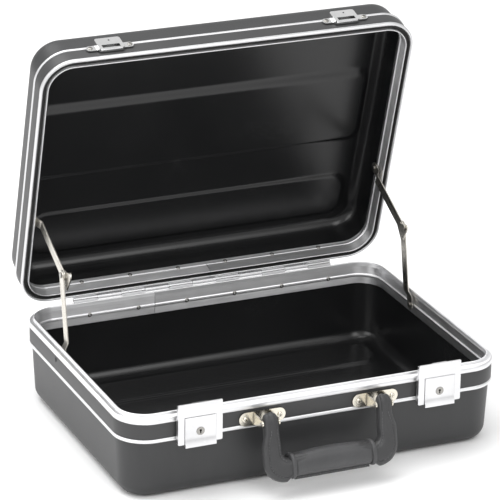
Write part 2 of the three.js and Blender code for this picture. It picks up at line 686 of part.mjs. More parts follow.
function add(parent, name, kind, solid) {
  const mesh = new THREE.Mesh(geometryOf(solid), material(kind));
  mesh.name = name;
  parent.add(mesh);
}

const sides = [["left", -1], ["right", 1]];

function buildBody() {
  add(base, "base_shell", "shell", shell(90.7, BASE_SHELL_TOP - 1, 0));
  add(base, "base_frame", "aluminium", frameRing(baseFrameSection()));
  add(base, "base_inlay", "inlay", frameRing(inlaySection(BASE_BEAD_LOW[1], BASE_BEAD_HIGH[0])));
  add(lid, "lid_shell", "shell", shell(SEAM_Z + 8.3, SEAM_Z + LID_BAND + 1, LID_TOP));
  add(lid, "lid_frame", "aluminium", frameRing(lidFrameSection()));
  add(lid, "lid_inlay", "inlay", frameRing(inlaySection(LID_BEAD_HIGH[1], LID_BEAD_LOW[0])));
  add(lid, "lid_gasket", "rubber", frameRing(gasketSection()));
}

function buildHinge() {
  const half = HINGE_LENGTH / 2;
  add(base, "hinge_leaf_base", "aluminium", hingeLeaf(-1, 0));
  add(lid, "hinge_leaf_lid", "aluminium", hingeLeaf(1, 1));
  add(base, "hinge_pin", "steel", bar("x", HINGE_X - half, HINGE_X + half, HINGE_Y, HINGE_Z, HINGE_PIN_R,
    24));
}

function buildLocks() {
  sides.forEach(([name, side]) => {
    const x = side * LOCK_X;
    add(base, `lock_plate_${name}`, "nickel", lockPlate(x));
    add(base, `lock_lever_pin_${name}`, "steel", lockPin(x, LEVER_PIVOT));
    add(base, `lock_lever_${name}`, "nickel", lever(x));
    add(base, `lock_hasp_pin_${name}`, "steel", lockPin(x, HASP_PIVOT));
    add(base, `lock_hasp_${name}`, "nickel", hasp(x));
    add(base, `key_cylinder_${name}`, "nickel", keyCylinder(x));
    add(lid, `catch_${name}`, "nickel", catchBody(x));
    add(lid, `catch_screw_${name}_a`, "nickel", screw(x - CATCH_EAR_X, CATCH_EAR_Z, FRONT_Y - 2.25));
    add(lid, `catch_screw_${name}_b`, "nickel", screw(x + CATCH_EAR_X, CATCH_EAR_Z, FRONT_Y - 2.25));
  });
}

function buildHandle() {
  const [py, pz] = HANDLE_PIVOT;
  sides.forEach(([name, side]) => {
    const x = side * BRACKET_X;
    add(base, `handle_bracket_${name}`, "nickel", bracket(x));
    add(base, `handle_pin_${name}`, "steel", bar("x", x - HANDLE_PIN_HALF, x + HANDLE_PIN_HALF, py, pz,
      HANDLE_PIN_R));
    add(base, `bracket_screw_${name}_a`, "nickel", screw(x - BRACKET_SCREW, BRACKET_Z, FRONT_Y - 2.35));
    add(base, `bracket_screw_${name}_b`, "nickel", screw(x + BRACKET_SCREW, BRACKET_Z, FRONT_Y - 2.35));
    const ends = [side * COLLAR.from, side * COLLAR.to].sort((a, b) => a - b);
    add(base, `handle_collar_${name}`, "leather", tilted(gripTube(ends[0], ends[1], COLLAR)));
  });
  add(base, "handle_body", "leather", tilted(handleBody()));
  add(base, "handle_sleeve", "leather", tilted(gripSleeve()));
}

function buildStays() {
  const lidPivot = turned(STAY_LID, -LID_OPEN_DEG);
  sides.forEach(([name, side]) => {
    const at = (inset) => side * (HALF_W - inset);
    const xBar = (i0, i1, [y, z], r) => bar("x", Math.min(at(i0), at(i1)), Math.max(at(i0), at(i1)), y, z, r);
    const eye = (r, point, i0, i1) => xBar(i0, i1, point, r);
    const run = UPPER_RUN_INSET;
    const lower = cut(link(side, STAY_BASE, STAY_ELBOW_OPEN, BASE_PIVOT_INSET, LOWER_RUN_INSET),
      eye(2.06, STAY_BASE, 5, 25), eye(2.06, STAY_ELBOW_OPEN, 5, 25));
    const upper = cut(link(side, lidPivot, STAY_ELBOW_OPEN, LID_PIVOT_INSET, run), eye(2.06, lidPivot, 5,
      25));
    add(base, `stay_lower_link_${name}`, "nickel", lower);
    add(base, `stay_upper_link_${name}`, "nickel", upper);
    const baseRivet = union(xBar(FLANGE[1] + RIB_OUT + GAP, BASE_PIVOT_INSET - 0.25, STAY_BASE, 3.4),
      xBar(BASE_PIVOT_INSET - 1, BASE_PIVOT_INSET + STAY_THICK + 0.6, STAY_BASE, 2),
      xBar(BASE_PIVOT_INSET + STAY_THICK + 0.25, BASE_PIVOT_INSET + STAY_THICK + 1.3, STAY_BASE, 3.2));
    add(base, `stay_base_rivet_${name}`, "steel", baseRivet);
    const lidRivet = union(xBar(LIP[1] + RIB_OUT + GAP, LID_PIVOT_INSET - 0.25, STAY_LID, 3.4),
      xBar(LID_PIVOT_INSET - 1, LID_PIVOT_INSET + STAY_THICK + 0.6, STAY_LID, 2),
      xBar(LID_PIVOT_INSET + STAY_THICK + 0.25, LID_PIVOT_INSET + STAY_THICK + 1.3, STAY_LID, 3.2));
    add(lid, `stay_lid_rivet_${name}`, "steel", lidRivet);
    const elbow = union(xBar(LOWER_RUN_INSET - 1.2, LOWER_RUN_INSET - 0.25, STAY_ELBOW_OPEN, 3.4),
      xBar(LOWER_RUN_INSET - 1, LOWER_RUN_INSET + STAY_THICK + 0.1, STAY_ELBOW_OPEN, 2));
    add(base, `stay_elbow_rivet_${name}`, "steel", elbow);
    const tab = lockTab(side, run + STAY_THICK + 0.3);
    add(base, `stay_lock_tab_${name}`, "nickel", tab);
  });
}

// Finger tab of the stay: a round boss at the elbow with a pointed ear hanging forward of it.
function lockTab(side, inset) {
  const [y, z] = STAY_ELBOW_OPEN;
  const shape = new THREE.Shape();
  shape.absarc(0, 0, 5.4, THREE.MathUtils.degToRad(-20), THREE.MathUtils.degToRad(130));
  shape.lineTo(-17, 7.5);
  shape.quadraticCurveTo(-21, 5.5, -19.5, 1);
  shape.lineTo(-8.5, -16);
  shape.quadraticCurveTo(-6, -17.5, -4.6, -14.5);
  const plate = plateYZ(shape, HALF_W - inset - 1.6, HALF_W - inset).translate([0, y, z]);
  const boss = bar("x", HALF_W - inset - 3.2, HALF_W - inset, y - 13, z + 3.4, 3.6);
  const body = union(plate, boss);
  return side > 0 ? body : body.mirror([1, 0, 0]);
}

buildBody();
buildHinge();
buildLocks();
buildHandle();
buildStays();

lid.position.set(0, HINGE_Y, HINGE_Z);
lid.rotation.x = -THREE.MathUtils.degToRad(LID_OPEN_DEG);
lid.children.forEach((mesh) => mesh.geometry.translate(0, -HINGE_Y, -HINGE_Z));

export default root;
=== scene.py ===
import json
import math

import bmesh
import bpy
from mathutils import Matrix, Vector, noise


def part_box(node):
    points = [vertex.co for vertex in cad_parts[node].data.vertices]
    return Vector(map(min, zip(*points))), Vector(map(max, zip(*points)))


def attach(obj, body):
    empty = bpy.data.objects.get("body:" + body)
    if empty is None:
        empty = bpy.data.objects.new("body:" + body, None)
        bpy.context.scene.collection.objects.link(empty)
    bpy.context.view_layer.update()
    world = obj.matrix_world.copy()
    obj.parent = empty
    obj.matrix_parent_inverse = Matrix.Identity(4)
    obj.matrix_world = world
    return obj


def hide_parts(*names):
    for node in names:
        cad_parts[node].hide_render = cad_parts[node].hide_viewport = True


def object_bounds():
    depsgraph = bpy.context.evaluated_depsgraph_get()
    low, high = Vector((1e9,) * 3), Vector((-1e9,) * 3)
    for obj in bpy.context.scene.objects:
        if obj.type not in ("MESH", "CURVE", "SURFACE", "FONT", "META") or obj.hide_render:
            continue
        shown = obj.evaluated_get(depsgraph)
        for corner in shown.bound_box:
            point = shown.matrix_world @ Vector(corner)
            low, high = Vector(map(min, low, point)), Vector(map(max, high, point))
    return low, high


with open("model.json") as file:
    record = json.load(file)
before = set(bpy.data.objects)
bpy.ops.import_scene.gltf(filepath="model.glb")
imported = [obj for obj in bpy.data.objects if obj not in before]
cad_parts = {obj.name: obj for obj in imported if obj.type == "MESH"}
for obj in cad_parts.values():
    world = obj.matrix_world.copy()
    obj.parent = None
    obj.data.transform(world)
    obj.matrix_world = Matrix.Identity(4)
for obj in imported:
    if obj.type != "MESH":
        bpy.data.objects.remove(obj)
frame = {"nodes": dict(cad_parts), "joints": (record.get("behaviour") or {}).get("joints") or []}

CAD_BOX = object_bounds()
MM = 0.001


def joint(name):
    return next(j for j in frame["joints"] if j["name"] == name)


def span(node, axis):
    low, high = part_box(node)
    return low[axis] / MM, high[axis] / MM


# ---------------------------------------------------------------- driving sizes
BEAD_PROUD = 0.8
HALF_W = span("base_frame", 0)[1] - BEAD_PROUD
HALF_D = span("base_frame", 1)[1] - BEAD_PROUD
TONGUE_TOP = span("base_frame", 2)[1]
BAND_LOW = span("base_frame", 2)[0]
SEAM_Z = TONGUE_TOP - 3.1
LID_BAND = 25
LID_TOP = 161
CORNER_R = 37
CORNER_STEPS = 24

HINGE = Vector(joint("lid_hinge")["pos_m"]) / MM
LID_OPEN = math.radians(joint("lid_hinge")["range_deg"][1])
LID_TURN = (Matrix.Translation(HINGE * MM) @ Matrix.Rotation(-LID_OPEN, 4, "X")
            @ Matrix.Translation(-HINGE * MM))
HANDLE_PIVOT = Vector(joint("handle_swing")["pos_m"]) / MM

WALL = 2.5
SHELL_INSET = 2.9
DRAFT = math.tan(math.radians(3))
EDGE_R = 16
BASE_RIM_Z = 90.7
LID_RIM_Z = SEAM_Z + 8.3

# Frame sections. A pair is the inset of a wall's outer and inner face.
BASE_CHANNEL_Z = (BAND_LOW + 4.5, 91.3)
LID_BEAD = 3.6
FLANGE = (5.9, 7.3)
FLANGE_LOW = 74.5
LIP = (7.5, 9.1)
GROOVE_INSET = 2.7
GROOVE_TOP = SEAM_Z + 5
RIB_OUT = 0.9
RIB_Z = 85.4
LID_RIB_Z = 2 * SEAM_Z - RIB_Z + 2
BASE_JOINT_X = -63
LID_JOINT_X = 11
# Half the gap where the ends of an inlay or of the gasket meet.
STRIP_GAP = 0.1

# Raised pads moulded into the big faces: y from, y to, half length, height, slope on the
# front side, slope elsewhere, corner radius.
PADS = [
    (-70, 33, 209, 3.4, 13, 4, 16),
    (82, 143, 203, 2.6, 4, 5, 22),
]
SIDES = (("left", -1), ("right", 1))


# ---------------------------------------------------------------- mesh helpers
# Width of the grain map against its length, so that drawn lines come out fine.
GRAIN_ACROSS = 10


def mesh_piece(name, verts, faces, body, material, angle=35, lid=False, slot=None, replaces=(), run=None):
    """A mesh piece in millimetres, smooth below `angle` degrees, riding on `body`.

    `run` gives each vertex its way along and across the section, for materials with lines.
    """
    mesh = bpy.data.meshes.new(name)
    mesh.from_pydata([Vector(v) * MM for v in verts], [], faces)
    if run is not None:
        attribute = mesh.attributes.new("run", "FLOAT_VECTOR", "POINT")
        attribute.data.foreach_set("vector", [c for r in run for c in r])
        grain = mesh.uv_layers.new(name="grain")
        for loop in mesh.loops:
            along, across, _ = run[loop.vertex_index]
            grain.data[loop.index].uv = (across * GRAIN_ACROSS, along)
    bm = bmesh.new()
    bm.from_mesh(mesh)
    bmesh.ops.recalc_face_normals(bm, faces=bm.faces)
    bm.to_mesh(mesh)
    bm.free()
    if lid:
        mesh.transform(LID_TURN)
    mesh.shade_smooth()
    mesh.set_sharp_from_angle(angle=math.radians(angle))
    piece = bpy.data.objects.new(name, mesh)
    bpy.context.scene.collection.objects.link(piece)
    mesh.materials.append(material)
    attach(piece, body)
    if replaces:
        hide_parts(*replaces)
    return piece


def softened(points, radius, steps=4):
    """A closed polygon with each corner rounded; a third number on a point sets its own radius."""
    result = []
    count = len(points)
    for i, point in enumerate(points):
        here = Vector(point[:2])
        before = Vector(points[i - 1][:2])
        after = Vector(points[(i + 1) % count][:2])
        wanted = point[2] if len(point) > 2 else radius
        reach = min(wanted, 0.45 * (before - here).length, 0.45 * (after - here).length)
        if reach < 0.02:
            result.append(here)
            continue
        start = here + (before - here).normalized() * reach
        end = here + (after - here).normalized() * reach
        for k in range(steps + 1):
            t = k / steps
            result.append(start * (1 - t) ** 2 + here * 2 * t * (1 - t) + end * t * t)
    return result


def outline(inset, joint_x=None, gap=0.0, corner_steps=CORNER_STEPS):
    """Points round the case, inside its face by `inset`; open at a butt joint in the rear if asked."""
    r = max(CORNER_R - inset, 0.6)
    cx, cy = HALF_W - inset - r, HALF_D - inset - r
    corners = []
    for quarter, (sx, sy) in enumerate(((1, 1), (-1, 1), (-1, -1), (1, -1))):
        arc = []
        for i in range(corner_steps + 1):
            angle = (quarter + i / corner_steps) * math.pi / 2
            arc.append(Vector((sx * cx + r * math.cos(angle), sy * cy + r * math.sin(angle))))
        corners.append(arc)
    if joint_x is None:
        return corners[0] + corners[1] + corners[2] + corners[3]
    rear = HALF_D - inset
    return ([Vector((joint_x - gap, rear))] + corners[1] + corners[2] + corners[3] + corners[0]
            + [Vector((joint_x + gap, rear))])


def frame_ring(name, section, body, material, joint_x, gap=0.25, **options):
    """A section of [inset, z] points carried round the case from one side of its joint to the other."""
    rows = [outline(inset, joint_x, gap) for inset, _ in section]
    count = len(rows[0])
    verts, run = [], []
    across = 0.0
    for i, (inset, z) in enumerate(section):
        if i:
            across += (Vector(section[i]) - Vector(section[i - 1])).length
        along = 0.0
        for k, p in enumerate(rows[i]):
            if k:
                along += (p - rows[i][k - 1]).length
            verts.append((p.x, p.y, z))
            run.append((along * MM, across * MM, 0))
    faces = []
    for i in range(len(section)):
        j = (i + 1) % len(section)
        for k in range(count - 1):
            faces.append((i * count + k, i * count + k + 1, j * count + k + 1, j * count + k))
    faces.append([i * count for i in range(len(section))])
    faces.append([i * count + count - 1 for i in range(len(section))])
    return mesh_piece(name, verts, faces, body, material, run=run, **options)


def lathe(profile, centre, axis, segments=32):
    """Vertices and faces of a turned solid: (radius, height) pairs along `axis` from `centre`."""
    axis = Vector(axis).normalized()
    side = axis.orthogonal().normalized()
    other = axis.cross(side)
    centre = Vector(centre)
    verts, faces = [], []
    rings = []
    for radius, height in profile:
        if radius < 1e-6:
            rings.append([len(verts)])
            verts.append(centre + axis * height)
            continue
        ring = []
        for k in range(segments):
            a = 2 * math.pi * k / segments
            ring.append(len(verts))
            verts.append(centre + axis * height + (side * math.cos(a) + other * math.sin(a)) * radius)
        rings.append(ring)
    for low, high in zip(rings, rings[1:]):
        for k in range(segments):
            m = (k + 1) % segments
            if len(low) == 1:
                faces.append((low[0], high[k], high[m]))
            elif len(high) == 1:
                faces.append((low[k], low[m], high[0]))
            else:
                faces.append((low[k], low[m], high[m], high[k]))
    return verts, faces


def merged(parts):
    verts, faces = [], []
    for v, f in parts:
        base = len(verts)
        verts += v
        faces += [[i + base for i in face] for face in f]
    return verts, faces


def smoothstep(t):
    t = min(max(t, 0.0), 1.0)
    return t * t * (3 - 2 * t)


# ---------------------------------------------------------------- materials
# Places of the colour sockets on a mix node, which share their names with its other sockets.
MIX_COLOUR_A = 6
MIX_COLOUR_B = 7
MIX_COLOUR_RESULT = 2


class Nodes:
    """Short calls for building one material's node tree."""

    def __init__(self, name):
        self.material = bpy.data.materials.new(name)
        self.material.use_nodes = True
        self.tree = self.material.node_tree
        self.tree.nodes.clear()
        self.output = self.add("ShaderNodeOutputMaterial")
        self.shader = self.add("ShaderNodeBsdfPrincipled")
        self.link(self.shader.outputs["BSDF"], self.output.inputs["Surface"])
        self.place = self.add("ShaderNodeTexCoord").outputs["Object"]

    def add(self, kind, **settings):
        node = self.tree.nodes.new(kind)
        for key, value in settings.items():
            setattr(node, key, value)
        return node

    def link(self, a, b):
        self.tree.links.new(a, b)

    def set(self, **values):
        for key, value in values.items():
            self.shader.inputs[key.replace("_", " ")].default_value = value

    def stretched(self, scale, source=None):
        node = self.add("ShaderNodeMapping")
        node.inputs["Scale"].default_value = scale
        self.link(source or self.place, node.inputs["Vector"])
        return node.outputs["Vector"]

    def noise(self, scale, detail=3.0, roughness=0.5, source=None, distortion=0.0):
        node = self.add("ShaderNodeTexNoise")
        node.inputs["Scale"].default_value = scale
        node.inputs["Detail"].default_value = detail
        node.inputs["Roughness"].default_value = roughness
        node.inputs["Distortion"].default_value = distortion
        self.link(source or self.place, node.inputs["Vector"])
        return node.outputs["Fac"]

    def voronoi(self, scale, feature):
        node = self.add("ShaderNodeTexVoronoi", feature=feature)
        node.inputs["Scale"].default_value = scale
        self.link(self.place, node.inputs["Vector"])
        return node.outputs["Distance"]

    def ramp(self, factor, stops):
        node = self.add("ShaderNodeValToRGB")
        ramp = node.color_ramp
        while len(ramp.elements) < len(stops):
            ramp.elements.new(0.5)
        for element, (position, colour) in zip(ramp.elements, stops):
            element.position = position
            element.color = (*colour, 1)
        self.link(factor, node.inputs["Fac"])
        return node.outputs["Color"]

    def spread(self, factor, low, high, start=0.0, end=1.0):
        node = self.add("ShaderNodeMapRange")
        node.inputs["From Min"].default_value = start
        node.inputs["From Max"].default_value = end
        node.inputs["To Min"].default_value = low
        node.inputs["To Max"].default_value = high
        self.link(factor, node.inputs["Value"])
        return node.outputs["Result"]

    def math(self, operation, a, b):
        node = self.add("ShaderNodeMath", operation=operation)
        for socket, value in zip(node.inputs, (a, b)):
            if isinstance(value, (int, float)):
                socket.default_value = value
            else:
                self.link(value, socket)
        return node.outputs["Value"]

    def painted_recess_shade(self, colour, reach, least):
        """Painted shade: darken a colour in slots, holes and corners, where ambient occlusion finds them."""
        open_share = self.add("ShaderNodeAmbientOcclusion", samples=6, only_local=True)
        open_share.inputs["Distance"].default_value = reach * MM
        share = self.spread(open_share.outputs["AO"], least, 1.0, 0.25, 0.8)
        mix = self.add("ShaderNodeMix", data_type="RGBA", blend_type="MULTIPLY")
        mix.inputs["Factor"].default_value = 1.0
        self.link(colour, mix.inputs[MIX_COLOUR_A])
        self.link(share, mix.inputs[MIX_COLOUR_B])
        return mix.outputs[MIX_COLOUR_RESULT]

    def bump(self, height, distance, strength=1.0, below=None):
        node = self.add("ShaderNodeBump")
        node.inputs["Strength"].default_value = strength
        node.inputs["Distance"].default_value = distance * MM
        self.link(height, node.inputs["Height"])
        if below is not None:
            self.link(below, node.inputs["Normal"])
        return node.outputs["Normal"]

    def surface(self, colour=None, rough=None, normal=None):
        for value, key in ((colour, "Base Color"), (rough, "Roughness"), (normal, "Normal")):
            if value is not None:
                self.link(value, self.shader.inputs[key])
        return self.material


def shell_plastic():
    """Black moulded plastic: leather-like pebble grain, soft cloudiness, faint upright streaks."""
    n = Nodes("shell_plastic")
    cells = n.voronoi(1150, "F1")
    pebble = n.math("MULTIPLY", cells, cells)
    fine = n.noise(2600, 2, 0.6)
    waves = n.noise(16, 2, 0.45)
    streaks = n.noise(70, 2, 0.5, n.stretched((1, 1, 0.12)))
    cloud = n.math("ADD", n.math("MULTIPLY", n.noise(9, 4, 0.55), 0.6), n.math("MULTIPLY", streaks, 0.4))
    colour = n.ramp(cloud, [(0.3, (0.02, 0.0205, 0.0215)), (0.7, (0.028, 0.0285, 0.0295))])
    rough = n.spread(n.math("ADD", n.math("MULTIPLY", cloud, 0.6), n.math("MULTIPLY", fine, 0.4)), 0.34, 0.5)
    normal = n.bump(pebble, 0.16, 0.55)
    normal = n.bump(fine, 0.05, 0.35, normal)
    normal = n.bump(waves, 1.1, 0.35, normal)
    n.set(Specular_IOR_Level=0.5, IOR=1.5)
    return n.surface(colour, rough, normal)


def inside_plastic_painted_shade():
    """Satin inner face of the moulded sheet: smoother, softly cloudy and wavy, with a darker colour that is
    painted shade.
    """
    n = Nodes("inside_plastic_painted_shade")
    fine = n.noise(1900, 3, 0.6)
    waves = n.noise(11, 2, 0.4)
    cloud = n.noise(6, 4, 0.6, distortion=0.6)
    # A far darker colour than the outer face of the same sheet: painted shade.
    colour = n.ramp(cloud, [(0.3, (0.006, 0.0062, 0.0066)), (0.7, (0.01, 0.0102, 0.0106))])
    rough = n.spread(n.math("ADD", n.math("MULTIPLY", cloud, 0.7), n.math("MULTIPLY", fine, 0.3)), 0.21, 0.31)
    normal = n.bump(fine, 0.04, 0.3)
    normal = n.bump(waves, 1.6, 0.3, normal)
    n.set(Specular_IOR_Level=0.5, IOR=1.5)
    return n.surface(colour, rough, normal)


def inlay_plastic():
    """Extruded black strip: fine lines along its length."""
    n = Nodes("inlay_plastic")
    run = n.add("ShaderNodeAttribute", attribute_name="run").outputs["Vector"]
    lines = n.noise(60, 3, 0.6, n.stretched((0.6, 45, 1), run))
    grain = n.noise(2200, 2, 0.6)
    cloud = n.noise(14, 3, 0.5)
    colour = n.ramp(cloud, [(0.3, (0.027, 0.027, 0.028)), (0.7, (0.038, 0.038, 0.039))])
    wear = n.math("ADD", n.math("MULTIPLY", cloud, 0.5), n.math("MULTIPLY", lines, 0.5))
    rough = n.spread(wear, 0.36, 0.52)
    normal = n.bump(lines, 0.05, 0.4)
    normal = n.bump(grain, 0.05, 0.4, normal)
    return n.surface(colour, rough, normal)


def aluminium(name, low=0.8, high=0.9, rough=(0.36, 0.48)):
    """Satin aluminium section: drawn lines along its length spread its highlights across them."""
    n = Nodes(name)
    run = n.add("ShaderNodeAttribute", attribute_name="run").outputs["Vector"]
    lines = n.noise(1.0, 2, 0.5, n.stretched((9, 900, 1), run))
    marks = n.noise(60, 4, 0.6, distortion=0.8)
    cloud = n.noise(9, 3, 0.5)
    tone = n.math("ADD", n.math("MULTIPLY", lines, 0.6), n.math("MULTIPLY", cloud, 0.4))
    colour = n.ramp(tone, [(0.3, (low, low, low * 1.012)), (0.7, (high, high, high * 1.012))])
    wear = n.math("ADD", n.math("MULTIPLY", lines, 0.5), n.math("MULTIPLY", marks, 0.5))
    n.set(Metallic=1.0, Anisotropic=0.85)
    tangent = n.add("ShaderNodeTangent", direction_type="UV_MAP", uv_map="grain")
    n.link(tangent.outputs["Tangent"], n.shader.inputs["Tangent"])
    return n.surface(colour, n.spread(wear, *rough, 0.3, 0.7), n.bump(lines, 0.012, 0.5))


def nickel(name, tint, rough):
    """Nickel plate: short random scratches both ways, faint tarnish, painted shade in its slots and holes."""
    n = Nodes(name)
    scratches = n.noise(240, 4, 0.7, n.stretched((1.0, 1.0, 9.0)))
    cross = n.noise(260, 3, 0.7, n.stretched((9.0, 1.0, 1.0)))
    cloud = n.noise(30, 4, 0.6)
    dark = tuple(c * 0.86 for c in tint)
    colour = n.ramp(n.math("ADD", n.math("MULTIPLY", cloud, 0.7), n.math("MULTIPLY", scratches, 0.3)),
                    [(0.3, dark), (0.65, tint)])
    wear = n.math("MULTIPLY", scratches, cross)
    n.set(Metallic=1.0)
    normal = n.bump(scratches, 0.012, 0.4)
    normal = n.bump(n.noise(900, 2, 0.6), 0.012, 0.4, normal)
    # Slots, holes and corners darkened nearly to black: painted shade.
    colour = n.painted_recess_shade(colour, 6.0, 0.03)
    return n.surface(colour, n.spread(wear, rough[1], rough[0], 0.15, 0.4), normal)


def rubber():
    """Dull black gasket, dusty in patches."""
    n = Nodes("gasket_rubber_look")
    grain = n.noise(900, 3, 0.6)
    dust = n.noise(40, 4, 0.6)
    colour = n.ramp(dust, [(0.35, (0.008, 0.008, 0.008)), (0.75, (0.018, 0.018, 0.017))])
    return n.surface(colour, n.spread(grain, 0.6, 0.85), n.bump(grain, 0.06, 0.6))


def leatherette(name, tone):
    """Grained black leatherette: fine cells with creases between them, painted shade in the creases, soft
    folds, a faint sheen.
    """
    n = Nodes(name)
    cells = n.voronoi(820, "DISTANCE_TO_EDGE")
    creases_and_shade = n.spread(cells, 0.0, 1.0, 0.0, 0.12)
    fine = n.noise(1800, 3, 0.6)
    folds = n.noise(120, 4, 0.6, distortion=1.0)
    cloud = n.noise(28, 4, 0.6)
    dark = (tone * 0.72, tone * 0.73, tone * 0.77)
    light = (tone * 1.2, tone * 1.2, tone * 1.25)
    # The colour darkens in the creases: painted shade.
    colour = n.ramp(n.math("ADD", n.math("MULTIPLY", cloud, 0.7), n.math("MULTIPLY", creases_and_shade, 0.3)),
                    [(0.25, dark), (0.75, light)])
    normal = n.bump(creases_and_shade, 0.1, 0.55)
    normal = n.bump(fine, 0.04, 0.4, normal)
    normal = n.bump(folds, 0.25, 0.25, normal)
    n.set(Sheen_Weight=0.06, Sheen_Roughness=0.4)
    return n.surface(colour, n.spread(folds, 0.34, 0.5, 0.3, 0.7), normal)


def thread():
    """Dark grey twisted thread."""
    n = Nodes("thread")
    twist = n.noise(1500, 2, 0.6, n.stretched((1, 3, 3)))
    colour = n.ramp(twist, [(0.3, (0.07, 0.07, 0.072)), (0.7, (0.15, 0.15, 0.153))])
    return n.surface(colour, n.spread(twist, 0.55, 0.8), n.bump(twist, 0.08, 0.7))


def floor_paint():
    """Matt white paint, very slightly mottled."""
    n = Nodes("floor_paint")
    mottle = n.noise(3, 3, 0.5)
    colour = n.ramp(mottle, [(0.3, (0.93, 0.93, 0.93)), (0.7, (0.95, 0.95, 0.95))])
    return n.surface(colour, n.spread(mottle, 0.6, 0.7))


PLASTIC = shell_plastic()
INSIDE_SHADED = inside_plastic_painted_shade()
INLAY = inlay_plastic()
FRAME_METAL = aluminium("frame_aluminium_look")
# The lid frame gets a darker copy of the same aluminium: painted shade.
LID_FRAME_METAL_SHADED = aluminium("lid_frame_aluminium_painted_shade", low=0.66, high=0.76)
HINGE_METAL = aluminium("hinge_aluminium_look", low=0.8, high=0.88)
LOCK_METAL = nickel("lock_nickel_look", (0.76, 0.76, 0.77), (0.26, 0.38))
CATCH_METAL = nickel("catch_nickel_look", (0.86, 0.86, 0.86), (0.07, 0.16))
BRACKET_METAL = nickel("bracket_nickel_look", (0.74, 0.7, 0.61), (0.14, 0.28))
STAY_METAL = nickel("stay_nickel_look", (0.7, 0.67, 0.61), (0.22, 0.36))
PIN_METAL = nickel("steel_pin_look", (0.36, 0.35, 0.33), (0.2, 0.34))
RUBBER = rubber()
ARM_LEATHER = leatherette("arm_leatherette", 0.03)
# The sleeve and collars get a lighter copy of the arms' leatherette: painted light.
SLEEVE_LEATHER_LIT = leatherette("sleeve_leatherette_painted_light", 0.046)
THREAD = thread()


# ---------------------------------------------------------------- shells
WALL_STEPS = 6
FILLET_STEPS = 12
RING_SPACING = 1.8
SHELL_CORNER_STEPS = 14
# Divisions of the front and rear runs, then of the side runs, which cross the edges of the pads.
SHELL_RUN_STEPS = (50, 90)


def pad_height(x, y):
    """How far the moulded pads stand into the case at a point of the big face."""
    total = 0.0
    for y0, y1, half, height, front_slope, slope, radius in PADS:
        cy = (y0 + y1) / 2
        qx = abs(x) - (half - radius)
        qy = abs(y - cy) - ((y1 - y0) / 2 - radius)
        outside = math.hypot(max(qx, 0), max(qy, 0))
        depth = radius - outside - min(max(qx, qy), 0)
        facing_front = max(0.0, min(1.0, qy / max(outside, 1e-6))) if y < cy and qy > 0 else 0.0
        width = slope + (front_slope - slope) * facing_front
        total += height * smoothstep(depth / width)
    return total


def tray_side(rim, knee, face, inset, fillet):
    """Rings of one face of a moulded tray: straight, drafted, filleted, then the padded flat."""
    up = 1 if rim > face else -1
    height = abs(knee - face)
    foot = inset + (height - fillet) * DRAFT
    profile = [(inset, rim), (inset, knee)]
    for i in range(1, WALL_STEPS):
        t = i / WALL_STEPS
        profile.append((inset + (foot - inset) * t, knee + (face + up * fillet - knee) * t))
    for i in range(FILLET_STEPS + 1):
        a = i / FILLET_STEPS * math.pi / 2
        profile.append((foot + fillet * (1 - math.cos(a)), face + up * fillet * (1 - math.sin(a))))
    start = foot + fillet
    end = HALF_D - 1.2
    count = int((end - start) / RING_SPACING)
    for i in range(1, count + 1):
        profile.append((start + (end - start) * i / count, face))
    rows = []
    for ring_inset, z in profile:
        points = shell_outline(ring_inset)
        on_face = ring_inset >= foot + fillet * 0.3
        row = []
        for p in points:
            lift = pad_height(p.x, p.y) if on_face else 0.0
            row.append((p.x, p.y, z + up * lift))
        rows.append(row)
    return rows


def shell_outline(inset):
    """Outline with its straight runs divided, the same count for every inset."""
    base = outline(inset, corner_steps=SHELL_CORNER_STEPS)
    per = SHELL_CORNER_STEPS + 1
    points = []
    for quarter in range(4):
        arc = base[quarter * per:(quarter + 1) * per]
        following = base[(quarter + 1) * per % len(base)]
        points += arc
        steps = SHELL_RUN_STEPS[quarter % 2]
        for k in range(1, steps):
            points.append(arc[-1].lerp(following, k / steps))
    return points


def moulded_shell(name, body, rim, knee, face, lid, node):
    """Thin tray with both faces; the inner face gets the smoother finish and a darker colour, which is
    painted shade.
    """
    up = 1 if rim > face else -1
    outer = tray_side(rim, knee, face, SHELL_INSET, EDGE_R)
    inner = tray_side(rim, knee, face + up * WALL, SHELL_INSET + WALL, EDGE_R - WALL)
    count = len(outer[0])
    verts, faces, inside = [], [], []
    starts = []
    for rows in (outer, inner):
        starts.append(len(verts))
        for row in rows:
            verts += row
    for which, rows in enumerate((outer, inner)):
        start = starts[which]
        for i in range(len(rows) - 1):
            for k in range(count):
                m = (k + 1) % count
                a, b = start + i * count, start + (i + 1) * count
                faces.append((a + k, a + m, b + m, b + k))
                inside.append(which)
        last = start + (len(rows) - 1) * count
        faces.append([last + k for k in range(count)])
        inside.append(which)
    for k in range(count):
        m = (k + 1) % count
        faces.append((starts[0] + k, starts[0] + m, starts[1] + m, starts[1] + k))
        inside.append(1)
    piece = mesh_piece(name, verts, faces, body, PLASTIC, angle=50, lid=lid, slot="shell_plastic",
                       replaces=(node,))
    piece.data.materials.append(INSIDE_SHADED)
    for polygon, which in zip(piece.data.polygons, inside):
        polygon.material_index = which
    return piece


moulded_shell("base_tray", "base", BASE_RIM_Z, BAND_LOW - 1, 0, False, "base_shell")
moulded_shell("lid_tray", "lid", LID_RIM_Z, SEAM_Z + LID_BAND + 1, LID_TOP, True, "lid_shell")


